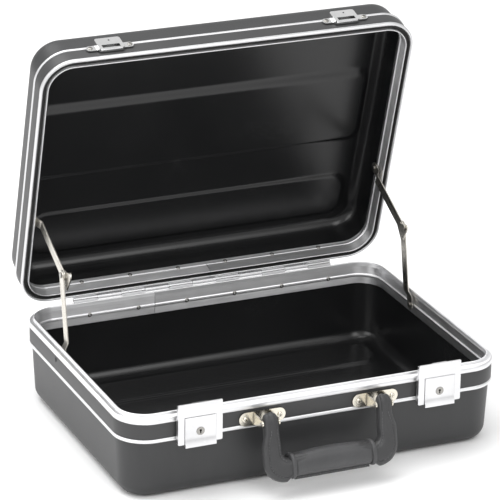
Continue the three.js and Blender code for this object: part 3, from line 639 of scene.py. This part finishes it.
# ---------------------------------------------------------------- frames
def base_section():
    """Outer bead, inlay channel, bead, tongue, then the inner wall with its rib."""
    low, high = BASE_CHANNEL_Z
    top = SEAM_Z - 0.3
    rib = FLANGE[1] + RIB_OUT
    return softened([
        (2.4, BAND_LOW, 0.2), (0.4, BAND_LOW, 0.6), (-BEAD_PROUD, BAND_LOW + 1.2, 1.2),
        (-BEAD_PROUD, BAND_LOW + 3.3, 1.2), (0.1, low, 0.5), (1.4, low, 0.1),
        (1.4, high, 0.1), (0.1, high, 0.5), (-BEAD_PROUD, high + 1.6, 1.6), (-BEAD_PROUD, top - 2.4, 2.0),
        (0.6, top - 0.5, 1.2), (2.2, top - 0.7, 0.6), (4.9, top, 0.5), (4.9, TONGUE_TOP - 0.5, 0.5),
        (5.5, TONGUE_TOP, 0.4), (6.3, TONGUE_TOP, 0.4), (6.9, TONGUE_TOP - 0.6, 0.5),
        (7.1, top, 1.2), (FLANGE[1], top - 1.5, 1.0), (FLANGE[1], RIB_Z + 2.0, 0.8),
        (rib, RIB_Z + 1.0, 0.7), (rib, RIB_Z - 1.0, 0.7), (FLANGE[1], RIB_Z - 2.0, 0.8),
        (FLANGE[1], FLANGE_LOW, 0.4), (FLANGE[0], FLANGE_LOW, 0.4), (FLANGE[0], high, 0.3), (2.4, high, 0.2),
    ], 0.4)


def lid_section():
    """Outer bead, inlay channel, bead, the groove for the tongue, then the inner wall with its rib."""
    near = SEAM_Z + 0.3
    top = SEAM_Z + LID_BAND
    rib = LIP[1] + RIB_OUT
    return softened([
        (2.4, top, 0.2), (0.4, top, 0.6), (-BEAD_PROUD, top - 1.0, 1.0), (-BEAD_PROUD, top - 2.6, 1.0),
        (0.1, top - LID_BEAD, 0.5), (1.4, top - LID_BEAD, 0.1),
        (1.4, near + 4.9, 0.1), (0.1, near + 4.9, 0.5),
        (-BEAD_PROUD, near + 3.5, 1.4), (-BEAD_PROUD, near + 1.5, 1.6), (0.5, near + 0.2, 1.0),
        (1.7, near, 0.6), (2.5, near + 0.7, 0.5), (GROOVE_INSET, GROOVE_TOP, 0.3), (LIP[0], GROOVE_TOP, 0.3),
        (LIP[0], near + 0.5, 0.3), (LIP[0] + 0.5, near, 0.4), (LIP[1] - 0.5, near, 0.4),
        (LIP[1], near + 0.5, 0.4), (LIP[1], LID_RIB_Z - 2.0, 0.8), (rib, LID_RIB_Z - 1.0, 0.7),
        (rib, LID_RIB_Z + 1.0, 0.7), (LIP[1], LID_RIB_Z + 2.0, 0.8), (LIP[1], top - 4, 0.4),
        (LIP[0], top - 4, 0.4),
        (LIP[0], SEAM_Z + 8, 0.3), (2.4, SEAM_Z + 8, 0.2),
    ], 0.4)


frame_ring("base_frame_section", base_section(), "base", FRAME_METAL, BASE_JOINT_X,
           slot="frame_aluminium", replaces=("base_frame",))
frame_ring("lid_frame_section", lid_section(), "lid", LID_FRAME_METAL_SHADED, LID_JOINT_X, lid=True,
           slot="frame_aluminium", replaces=("lid_frame",))


def inlay(name, z0, z1, body, node, joint_x, lid=False):
    """Slightly domed strip that fills a channel from z0 to z1."""
    middle = (z0 + z1) / 2
    section = softened([(0.15, z0 + 0.1, 0.4), (-0.05, middle, 6), (0.15, z1 - 0.1, 0.4),
                        (1.3, z1 - 0.1, 0.1), (1.3, z0 + 0.1, 0.1)], 0.3)
    return frame_ring(name, section, body, INLAY, joint_x, STRIP_GAP, lid=lid, slot="inlay_strip",
                      replaces=(node,))


inlay("base_inlay_strip", *BASE_CHANNEL_Z, "base", "base_inlay", BASE_JOINT_X)
inlay("lid_inlay_strip", SEAM_Z + 5.2, SEAM_Z + LID_BAND - LID_BEAD, "lid", "lid_inlay", LID_JOINT_X,
      lid=True)
frame_ring("groove_gasket", softened([
    (2.8, GROOVE_TOP - 0.1), (2.8, SEAM_Z + 1.5, 0.4), (4.4, SEAM_Z + 1.5, 0.5), (4.6, GROOVE_TOP - 1.5, 0.3),
    (6.6, GROOVE_TOP - 1.5, 0.7), (7.4, GROOVE_TOP - 0.9), (7.4, GROOVE_TOP - 0.1)], 0.3),
    "lid", RUBBER, LID_JOINT_X, STRIP_GAP, lid=True, slot="gasket_rubber", replaces=("lid_gasket",))


# ---------------------------------------------------------------- hinge
HINGE_X0, HINGE_X1 = span("hinge_pin", 0)
KNUCKLE = 30
KNUCKLE_R = 2.9
KNUCKLE_GAP = 0.3
ROLL_STEPS = 26
ROLL_TURN = math.radians(340)
LEAF_DOWN = 22
LEAF_UP = 20
LEAF_BACK = HALF_D + 1.1
LEAF_THICK = 1.3


def rolled_leaf(name, side, first, body, node, lid=False):
    """Hinge leaf: a strip whose edge is rolled round the pin at every other knuckle."""
    inner = KNUCKLE_R - LEAF_THICK
    hy, hz = HINGE.y, HINGE.z
    far = hz - LEAF_DOWN if side < 0 else hz + LEAF_UP
    near = hz + side * (KNUCKLE_R + 0.6)
    parts, run = [], []

    def extruded(section, x0, x1):
        """The section drawn out along X, noting where each vertex lies for the drawn lines."""
        count = len(section)
        verts = [(x, y, z) for x in (x0, x1) for y, z in section]
        across = [0.0]
        for a, b in zip(section, section[1:]):
            across.append(across[-1] + (Vector(b) - Vector(a)).length)
        run.extend((x * MM, c * MM, 0) for x in (x0, x1) for c in across)
        faces = [(i, (i + 1) % count, count + (i + 1) % count, count + i) for i in range(count)]
        faces += [list(range(count)), list(range(count, 2 * count))]
        return verts, faces

    plate = softened([(LEAF_BACK, far), (LEAF_BACK + LEAF_THICK, far), (LEAF_BACK + LEAF_THICK, near),
                      (LEAF_BACK, near)], 0.35)
    parts.append(extruded(plate, HINGE_X0, HINGE_X1))
    roll = []
    for radius, order in ((KNUCKLE_R, 1), (inner, -1)):
        for i in range(ROLL_STEPS + 1)[::order]:
            a = math.pi + side * (ROLL_TURN * i / ROLL_STEPS)
            roll.append((hy + radius * math.cos(a), hz - radius * math.sin(a)))
    tail = [(LEAF_BACK + 0.1, near + side * 1.0), (LEAF_BACK + LEAF_THICK - 0.1, near + side * 1.0),
            (hy - inner, hz + side * 0.4), (hy - KNUCKLE_R, hz)]
    knuckles = round((HINGE_X1 - HINGE_X0) / KNUCKLE)
    for i in range(first, knuckles, 2):
        a = HINGE_X0 + i * KNUCKLE + KNUCKLE_GAP / 2
        b = a + KNUCKLE - KNUCKLE_GAP
        parts.append(extruded(roll, a, b))
        parts.append(extruded(tail, a, b))
    verts, faces = merged(parts)
    return mesh_piece(name, verts, faces, body, HINGE_METAL, angle=30, lid=lid, slot="hinge_aluminium",
                      replaces=(node,), run=run)


rolled_leaf("hinge_leaf_lower", -1, 0, "base", "hinge_leaf_base")
rolled_leaf("hinge_leaf_upper", 1, 1, "lid", "hinge_leaf_lid", lid=True)


# ---------------------------------------------------------------- rivets
def pop_rivet(name, centre, axis, body, lid=False, head=2.7, hole=1.15, height=0.9):
    """Blind rivet: a domed flange with the hollow left by its mandrel."""
    profile = [(0, -0.6), (head * 0.96, -0.6), (head, -0.2), (head * 0.97, 0.15),
               (head * 0.82, height * 0.62), (head * 0.62, height * 0.92), (hole * 1.25, height),
               (hole, height * 0.9),
               (hole * 0.92, height * 0.4), (hole * 0.8, -0.25), (0, -0.35)]
    verts, faces = lathe(profile, centre, axis)
    return mesh_piece(name, verts, faces, body, PIN_METAL, lid=lid, slot="steel_pins")


def dome_rivet(name, centre, axis, body, head, lid=False, height=0.8, material=PIN_METAL):
    """Set rivet with a low round head, faintly dished in the middle."""
    profile = [(0, -0.3), (head, -0.3), (head, 0.05), (head * 0.93, height * 0.45),
               (head * 0.74, height * 0.8), (head * 0.42, height * 0.97), (head * 0.2, height),
               (0, height * 0.97)]
    verts, faces = lathe(profile, centre, axis)
    return mesh_piece(name, verts, faces, body, material, lid=lid, slot="steel_pins")


HINGE_RIVETS = 6
# The first rivet of a row and the step to the next.
BASE_RIVET_X = (-145, 61.3)
LID_RIVET_X = (-147, 60.8)
BACK_HEAD = 2.4


def hinge_rivets(body, row, wall, z, lid=False):
    """Rivets through the rib of a frame, with their tails in the hinge leaf behind it."""
    first, step = row
    for i in range(HINGE_RIVETS):
        x = first + step * i
        front = (x, HALF_D - wall - RIB_OUT + 0.2, z)
        back = (x, LEAF_BACK + LEAF_THICK, z)
        pop_rivet(f"hinge_rivet_{body}_{i + 1}", front, (0, -1, 0), body, lid=lid)
        dome_rivet(f"hinge_rivet_{body}_back_{i + 1}", back, (0, 1, 0), body, BACK_HEAD, lid=lid)


hinge_rivets("base", BASE_RIVET_X, FLANGE[1], RIB_Z)
hinge_rivets("lid", LID_RIVET_X, LIP[1], LID_RIB_Z, lid=True)
for side_name, side in SIDES:
    y, z = (Vector(joint(f"stay_lower_fold_{side_name}")["pos_m"]) / MM).yz
    dome_rivet(f"stay_rivet_outside_base_{side_name}", (side * (HALF_W + 0.1), y, z), (side, 0, 0), "base",
               2.6, material=INLAY)


# ---------------------------------------------------------------- handle
# Drawn hanging straight from its pins, then turned outwards by its resting tilt.
TILT = math.radians(14)
ARM_TOP_X = (59.8, 76.2)
ARM_LOW_X = (58.8, 80.3)
ARM_WIDENS = (8, 28)
ARM_DEPTH = 7.2
# Centre and radius of the bend's inner and outer curve.
BEND_INNER = (50.3, 49.5, 8.5)
BEND_OUTER = (56.3, 38.8, 24)
ARM_STEPS = 34
BEND_STEPS = 30
CORE_DEPTH = 11.2
CORE_Z = (21.6, 44.8)
# Inner edge, outer edge and thinning of the strap where its bend runs into the grip.
GRIP_NECK = (((50, 42), (51, 19), 0.4), ((48, 43.4), (48, 20.2), 0.0))
SLEEVE_HALF = span("handle_sleeve", 0)[1]
SLEEVE_BOTTOM = 19.8
SLEEVE_TOP = (43.6, 46.8)
SLEEVE_DEPTH = 13
SLEEVE_END = 0.4
FIN_BOTTOM = 15.2
FIN_HALF = 1.4
COLLAR_Z = (17.2, 46.0)
COLLAR_DEPTH = 13.4
# Grooves along the arm, from its outer and inner edge, with the stitches in them.
WELT_OUTER = 6.4
WELT_INNER = 3.4
GROOVE_WIDE = 0.62
GROOVE_DEEP = (1.0, 0.8)
PADDING = 0.55
FLANGE_WIDE = 4.1
FLANGE_THICK = 2.4
CAP_HEIGHT = 10.6
CAP_STEPS = 8
PIVOT_Y = HANDLE_PIVOT.y
PIVOT_Z = HANDLE_PIVOT.z
HANDLE_TURN = (Matrix.Translation(HANDLE_PIVOT * MM) @ Matrix.Rotation(-TILT, 4, "X")
               @ Matrix.Translation(-HANDLE_PIVOT * MM))


def power(value, exponent):
    """A power that keeps the sign, for rounded rectangles."""
    return math.copysign(abs(value) ** exponent, value)


def handle_piece(name, verts, faces, material, angle, replaces=()):
    piece = mesh_piece(name, verts, faces, "handle", material, angle=angle, slot="handle_leatherette",
                       replaces=replaces)
    piece.data.transform(HANDLE_TURN)
    return piece


def arm_stations():
    """Inner edge, outer edge, half depth and flare down one arm and round its bend, on the right."""
    stations = []
    for i in range(ARM_STEPS + 1):
        t = i / ARM_STEPS
        inner_z = PIVOT_Z + (BEND_INNER[1] - PIVOT_Z) * t
        outer_z = PIVOT_Z + (BEND_OUTER[1] - PIVOT_Z) * t
        wide = [smoothstep((PIVOT_Z - z - ARM_WIDENS[0]) / (ARM_WIDENS[1] - ARM_WIDENS[0]))
                for z in (inner_z, outer_z)]
        stations.append((Vector((ARM_TOP_X[0] + (ARM_LOW_X[0] - ARM_TOP_X[0]) * wide[0], inner_z)),
                         Vector((ARM_TOP_X[1] + (ARM_LOW_X[1] - ARM_TOP_X[1]) * wide[1], outer_z)),
                         ARM_DEPTH, wide[1]))
    for i in range(1, BEND_STEPS + 1):
        a = i / BEND_STEPS * math.pi / 2
        edges = [Vector((x + r * math.cos(a), z - r * math.sin(a))) for x, z, r in (BEND_INNER, BEND_OUTER)]
        depth = ARM_DEPTH + (CORE_DEPTH - 1 - ARM_DEPTH) * smoothstep(i / BEND_STEPS)
        stations.append((*edges, depth, 1.0))
    return stations


def arm_surface(station, share, face):
    """Point on the front (-1) or back (+1) of the arm, `share` of the way from inner to outer edge."""
    inner, outer, depth, wide = station
    width = (outer - inner).length
    along = share * width
    rounded = max(0.0, 1 - abs(2 * share - 1) ** 5.0) ** 0.42
    groove = 0.0
    for line, deep in ((width - WELT_OUTER, GROOVE_DEEP[0] * wide + 0.1), (WELT_INNER, GROOVE_DEEP[1])):
        groove += deep * math.exp(-((along - line) / GROOVE_WIDE) ** 2)
    middle = (WELT_INNER + width - WELT_OUTER) / 2
    reach = max(1.0, (width - WELT_OUTER - WELT_INNER) / 2)
    padding = PADDING * max(0.0, 1 - ((along - middle) / reach) ** 2)
    depth_here = depth * rounded + (padding - groove) * min(1.0, rounded * 1.2)
    place = inner.lerp(outer, share)
    if face > 0:
        # Behind the outer welt only a thin flange of leather stands out.
        on_core = smoothstep((width - FLANGE_WIDE * wide - along) / 1.2)
        depth_here = depth_here * on_core - (depth - FLANGE_THICK) * wide * (1 - on_core) * rounded
    return Vector((place.x, PIVOT_Y + face * depth_here, place.y))


def build_handle():
    """The leather strap: up one arm, through the grip and down the other, closed over each pin."""
    per_face = 46
    shares = [(1 - math.cos(math.pi * k / per_face)) / 2 for k in range(per_face + 1)]
    ring = [(share, -1) for share in shares] + [(share, 1) for share in shares[-2:0:-1]]
    around = len(ring)
    right = arm_stations()
    core = [(Vector(inner), Vector(outer), CORE_DEPTH - thinner, 0.0) for inner, outer, thinner in GRIP_NECK]
    in_sleeve = SLEEVE_HALF - SLEEVE_END
    core.append((Vector((in_sleeve, CORE_Z[1])), Vector((in_sleeve, CORE_Z[0])), CORE_DEPTH, 0.0))
    verts, faces = [], []
    rows = []

    def add_row(points, mirror):
        rows.append(list(range(len(verts), len(verts) + around)))
        for p in points:
            verts.append((-p.x if mirror else p.x, p.y, p.z))

    def cap():
        """Rounded leather end over the pin: rows swept back over the top of the arm."""
        result = []
        for step in range(CAP_STEPS, 0, -1):
            a = step / CAP_STEPS * math.pi / 2
            row = []
            for share, face in ring:
                p = arm_surface(right[0], share, face)
                out = p.y - PIVOT_Y
                rise = abs(out) / ARM_DEPTH * CAP_HEIGHT * math.sin(a) + 0.02
                row.append(Vector((p.x, PIVOT_Y + out * math.cos(a * 0.97), PIVOT_Z + rise)))
            result.append(row)
        return result

    for points in cap():
        add_row(points, False)
    for station in right + core:
        add_row([arm_surface(station, share, face) for share, face in ring], False)
    for station in reversed(right + core):
        add_row([arm_surface(station, share, face) for share, face in ring], True)
    for points in reversed(cap()):
        add_row(points, True)
    for low, high in zip(rows, rows[1:]):
        for k in range(around):
            m = (k + 1) % around
            faces.append((low[k], low[m], high[m], high[k]))
    for row in (rows[0], rows[-1]):
        faces.append(list(row))
    return handle_piece("handle_strap", verts, faces, ARM_LEATHER, 60, ("handle_body",))


build_handle()


def padded_tube(name, x0, x1, low, high, depth, node, crown=0.0, tuck=1.4, rings=44, around=72):
    """Stuffed tube round the grip from `low` to `high`, crowned by `crown`, tucked in at its ends."""
    half = (x1 - x0) / 2
    middle = (x0 + x1) / 2
    verts, faces, rows = [], [], []
    for i in range(rings + 1):
        t = -1 + 2 * i / rings
        t = math.copysign(1 - (1 - abs(t)) ** 1.7, t)
        from_end = (1 - abs(t)) * half
        sunk = tuck * (1 - math.sqrt(max(0.0, 1 - max(0.0, 1 - from_end / tuck) ** 2)))
        top = high + crown * (1 - t * t)
        centre = (top + low) / 2
        row = []
        for k in range(around):
            a = 2 * math.pi * k / around
            c, s = math.cos(a), math.sin(a)
            soft = 0.12 * noise.noise(Vector((t * 5, c * 1.5, s * 1.5)))
            u = (depth - sunk + soft + 0.25 * crown * (1 - t * t) - 0.25 * crown) * power(c, 0.76)
            v = ((top - low) / 2 - sunk + soft) * power(s, 0.8)
            row.append(len(verts))
            verts.append((middle + half * t, PIVOT_Y + u, centre + v))
        rows.append(row)
    for near, far in zip(rows, rows[1:]):
        for k in range(around):
            m = (k + 1) % around
            faces.append((near[k], near[m], far[m], far[k]))
    faces.append(list(rows[0]))
    faces.append(list(rows[-1]))
    return handle_piece(name, verts, faces, SLEEVE_LEATHER_LIT, 55, (node,))


padded_tube("grip_sleeve", -SLEEVE_HALF, SLEEVE_HALF, SLEEVE_BOTTOM, SLEEVE_TOP[0], SLEEVE_DEPTH,
                      "handle_sleeve", crown=SLEEVE_TOP[1] - SLEEVE_TOP[0])
for side_name, side in SIDES:
    low, high = span(f"handle_collar_{side_name}", 0)
    padded_tube(f"grip_collar_{side_name}", low, high, COLLAR_Z[0], COLLAR_Z[1], COLLAR_DEPTH,
                          f"handle_collar_{side_name}", tuck=1.9, rings=16)


def grip_fin():
    """Stitched seam allowance along the underside of the sleeve."""
    tip = FIN_HALF - 0.1
    section = softened([(-FIN_HALF, SLEEVE_BOTTOM + 2), (-tip, FIN_BOTTOM + 0.3, 0.8),
                        (tip, FIN_BOTTOM + 0.3, 0.8), (FIN_HALF, SLEEVE_BOTTOM + 2)], 0.2)
    half = SLEEVE_HALF - SLEEVE_END
    steps = 90
    verts, faces = [], []
    for i in range(steps + 1):
        x = -half + 2 * half * i / steps
        wave = 0.12 * math.sin(i * 2 * math.pi / 3)
        for y, z in section:
            verts.append((x, PIVOT_Y + y * (1 + wave * 0.4), z + (wave if z < SLEEVE_BOTTOM else 0)))
    count = len(section)
    for i in range(steps):
        for k in range(count):
            m = (k + 1) % count
            faces.append((i * count + k, i * count + m, (i + 1) * count + m, (i + 1) * count + k))
    faces.append(list(range(count)))
    faces.append(list(range(steps * count, (steps + 1) * count)))
    return handle_piece("grip_seam", verts, faces, ARM_LEATHER, 50)


grip_fin()


def stitch_solid(a, b, radius, face):
    """One short thread, thick in the middle and sunk at its ends."""
    direction = b - a
    side = direction.normalized().cross(Vector((0, 1, 0))).normalized()
    out = Vector((0, face, 0))
    verts, faces = [], []
    rings, around = 6, 8
    for i in range(rings + 1):
        t = i / rings
        fat = radius * math.sin(math.pi * (0.12 + 0.76 * t))
        centre = a + direction * t + out * (radius * 0.9 * math.sin(math.pi * t) - 0.1)
        for k in range(around):
            q = 2 * math.pi * k / around
            verts.append(centre + side * fat * math.cos(q) + out * fat * math.sin(q))
    for i in range(rings):
        for k in range(around):
            m = (k + 1) % around
            faces.append((i * around + k, i * around + m, (i + 1) * around + m, (i + 1) * around + k))
    faces.append(list(range(around)))
    faces.append(list(range(rings * around, (rings + 1) * around)))
    return verts, faces


def stitch_line(name, paths, face, pitch=3.4, length=2.3, radius=0.5):
    """Evenly spaced stitches along each path."""
    parts = []
    for path in paths:
        lengths = [0.0]
        for a, b in zip(path, path[1:]):
            lengths.append(lengths[-1] + (b - a).length)
        s = 1.0
        i = 0
        while s + length < lengths[-1]:
            ends = []
            for d in (s, s + length):
                while lengths[i + 1] < d:
                    i += 1
                t = (d - lengths[i]) / (lengths[i + 1] - lengths[i])
                ends.append(path[i].lerp(path[i + 1], t))
            parts.append(stitch_solid(ends[0], ends[1], radius, face))
            s += pitch
    verts, faces = merged(parts)
    return handle_piece(name, verts, faces, THREAD, 60)


# Stitches start below the pin and stop before the grip; the grip has a row of its own.
ARM_STITCHED = slice(6, -3)
GRIP_STITCHED = range(-44, 45, 2)

for face_name, face in (("front", -1), ("back", 1)):
    for line_name, from_outer, offset in (("outer", True, WELT_OUTER), ("inner", False, WELT_INNER)):
        path = []
        for station in arm_stations()[ARM_STITCHED]:
            width = (station[1] - station[0]).length
            share = 1 - offset / width if from_outer else offset / width
            path.append(arm_surface(station, share, face) + Vector((0, face * 0.1, 0)))
        mirror = [Vector((-p.x, p.y, p.z)) for p in path]
        stitch_line(f"arm_stitches_{face_name}_{line_name}", (path, mirror), face)
    seam_z = (FIN_BOTTOM + SLEEVE_BOTTOM) / 2
    stitch_line(f"grip_stitches_{face_name}",
                ([Vector((x, PIVOT_Y + face * FIN_HALF, seam_z)) for x in GRIP_STITCHED],), face)


# ---------------------------------------------------------------- carried-over CAD pieces
SHARP_ANGLE = math.radians(32)
BEVEL_ANGLE = math.radians(40)
BEVEL_SEGMENTS = 3


def smoothing_group():
    """Geometry nodes that weld split corners and shade smooth below SHARP_ANGLE."""
    group = bpy.data.node_groups.new("soft_shading", "GeometryNodeTree")
    group.interface.new_socket("Geometry", in_out="INPUT", socket_type="NodeSocketGeometry")
    group.interface.new_socket("Geometry", in_out="OUTPUT", socket_type="NodeSocketGeometry")
    nodes, links = group.nodes, group.links
    start = nodes.new("NodeGroupInput")
    end = nodes.new("NodeGroupOutput")
    drop = nodes.new("GeometryNodeRemoveAttribute")
    drop.inputs["Name"].default_value = "custom_normal"
    weld = nodes.new("GeometryNodeMergeByDistance")
    weld.inputs["Distance"].default_value = 0.00001
    smooth = nodes.new("GeometryNodeSetShadeSmooth")
    smooth.domain = "FACE"
    sharp = nodes.new("GeometryNodeSetShadeSmooth")
    sharp.domain = "EDGE"
    sharp.inputs["Shade Smooth"].default_value = False
    angle = nodes.new("GeometryNodeInputMeshEdgeAngle")
    compare = nodes.new("FunctionNodeCompare")
    compare.data_type = "FLOAT"
    compare.operation = "GREATER_THAN"
    compare.inputs["B"].default_value = SHARP_ANGLE
    links.new(start.outputs[0], drop.inputs["Geometry"])
    links.new(drop.outputs["Geometry"], weld.inputs["Geometry"])
    links.new(weld.outputs["Geometry"], smooth.inputs["Geometry"])
    links.new(smooth.outputs["Geometry"], sharp.inputs["Geometry"])
    links.new(angle.outputs["Unsigned Angle"], compare.inputs["A"])
    links.new(compare.outputs["Result"], sharp.inputs["Selection"])
    links.new(sharp.outputs["Geometry"], end.inputs[0])
    return group


SMOOTHING = smoothing_group()


def dress(node, material, bevel):
    """Keeps a CAD node, with soft shading, a small edge radius and its own material."""
    piece = frame["nodes"][node]
    piece.data.materials.clear()
    piece.data.materials.append(material)
    smoothing = piece.modifiers.new("soft shading", "NODES")
    smoothing.node_group = SMOOTHING
    edge = piece.modifiers.new("edge radius", "BEVEL")
    edge.width = bevel * MM
    edge.segments = BEVEL_SEGMENTS
    edge.limit_method = "ANGLE"
    edge.angle_limit = BEVEL_ANGLE
    edge.harden_normals = True
    edge.use_clamp_overlap = True


# Material and edge radius of each piece that there is one of on each side.
KEPT = {
    "lock_plate": (LOCK_METAL, 0.25),
    "lock_lever_pin": (PIN_METAL, 0.15),
    "lock_lever": (LOCK_METAL, 0.45),
    "lock_hasp_pin": (PIN_METAL, 0.15),
    "lock_hasp": (LOCK_METAL, 0.6),
    "key_cylinder": (PIN_METAL, 0.6),
    "catch": (CATCH_METAL, 0.35),
    "handle_bracket": (BRACKET_METAL, 0.35),
    "handle_pin": (PIN_METAL, 0.25),
    "stay_lower_link": (STAY_METAL, 0.3),
    "stay_upper_link": (STAY_METAL, 0.3),
    "stay_base_rivet": (PIN_METAL, 0.35),
    "stay_lid_rivet": (PIN_METAL, 0.35),
    "stay_elbow_rivet": (PIN_METAL, 0.35),
    "stay_lock_tab": (STAY_METAL, 0.35),
}
SCREW_EDGE = 0.12

dress("hinge_pin", PIN_METAL, 0.2)
for side_name, _ in SIDES:
    for kept_name, (kept_material, edge_radius) in KEPT.items():
        dress(f"{kept_name}_{side_name}", kept_material, edge_radius)
    for end in "ab":
        dress(f"catch_screw_{side_name}_{end}", PIN_METAL, SCREW_EDGE)
        dress(f"bracket_screw_{side_name}_{end}", BRACKET_METAL, SCREW_EDGE)


# ---------------------------------------------------------------- floor, light and camera
def stage_floor():
    """Wide pale floor just under the case."""
    half = 14.0
    corners = [(-half, -half, 0), (half, -half, 0), (half, half, 0), (-half, half, 0)]
    mesh = bpy.data.meshes.new("floor")
    mesh.from_pydata(corners, [], [(0, 1, 2, 3)])
    mesh.materials.append(floor_paint())
    floor = bpy.data.objects.new("floor", mesh)
    floor.location.z = CAD_BOX[0].z - 0.0002
    bpy.context.scene.collection.objects.link(floor)


def area_light(name, place, target, size, watts):
    """Square soft light at `place`, aimed at `target`."""
    data = bpy.data.lights.new(name, "AREA")
    data.shape = "RECTANGLE"
    data.size = size
    data.size_y = size
    data.energy = watts
    light = bpy.data.objects.new(name, data)
    light.location = place
    light.rotation_mode = "QUATERNION"
    light.rotation_quaternion = (Vector(target) - Vector(place)).to_track_quat("-Z", "Y")
    bpy.context.scene.collection.objects.link(light)


def studio():
    """White surroundings with three soft lights."""
    world = bpy.data.worlds.new("studio")
    bpy.context.scene.world = world
    world.use_nodes = True
    background = world.node_tree.nodes["Background"]
    background.inputs["Color"].default_value = (1, 1, 1, 1)
    background.inputs["Strength"].default_value = 0.8
    area_light("overhead", (-0.6, 0.5, 2.4), (0, 0.1, 0.1), 2.2, 52)
    area_light("left softbox", (-2.4, -0.9, 1.3), (0, 0, 0.15), 1.6, 18)
    area_light("front softbox", (0.3, -2.3, 2.3), (0, 0, 0.1), 1.8, 28)
    stage_floor()
    view = bpy.context.scene.view_settings
    view.view_transform = "Standard"
    view.look = "None"


def camera():
    """Long lens looking down on the front left corner, turned by a small roll."""
    azimuth, elevation, roll = math.radians(23.65), math.radians(21.47), math.radians(0.82)
    distance, across, above = 3.651, -0.0088, 0.1265
    aim = Vector((0, 0, 0.0684))
    forward = Vector((math.sin(azimuth) * math.cos(elevation), math.cos(azimuth) * math.cos(elevation),
                      -math.sin(elevation)))
    level = Vector((math.cos(azimuth), -math.sin(azimuth), 0))
    upright = level.cross(forward)
    right = level * math.cos(roll) + upright * math.sin(roll)
    up = upright * math.cos(roll) - level * math.sin(roll)
    data = bpy.data.cameras.new("camera")
    data.lens = 229.6
    data.sensor_width = 36
    data.clip_start = 0.1
    data.clip_end = 60
    view = bpy.data.objects.new("camera", data)
    place = aim - forward * distance + right * across + up * above
    turn = Matrix((right, up, -forward)).transposed().to_4x4()
    view.matrix_world = Matrix.Translation(place) @ turn
    bpy.context.scene.collection.objects.link(view)
    bpy.context.scene.camera = view


studio()
camera()
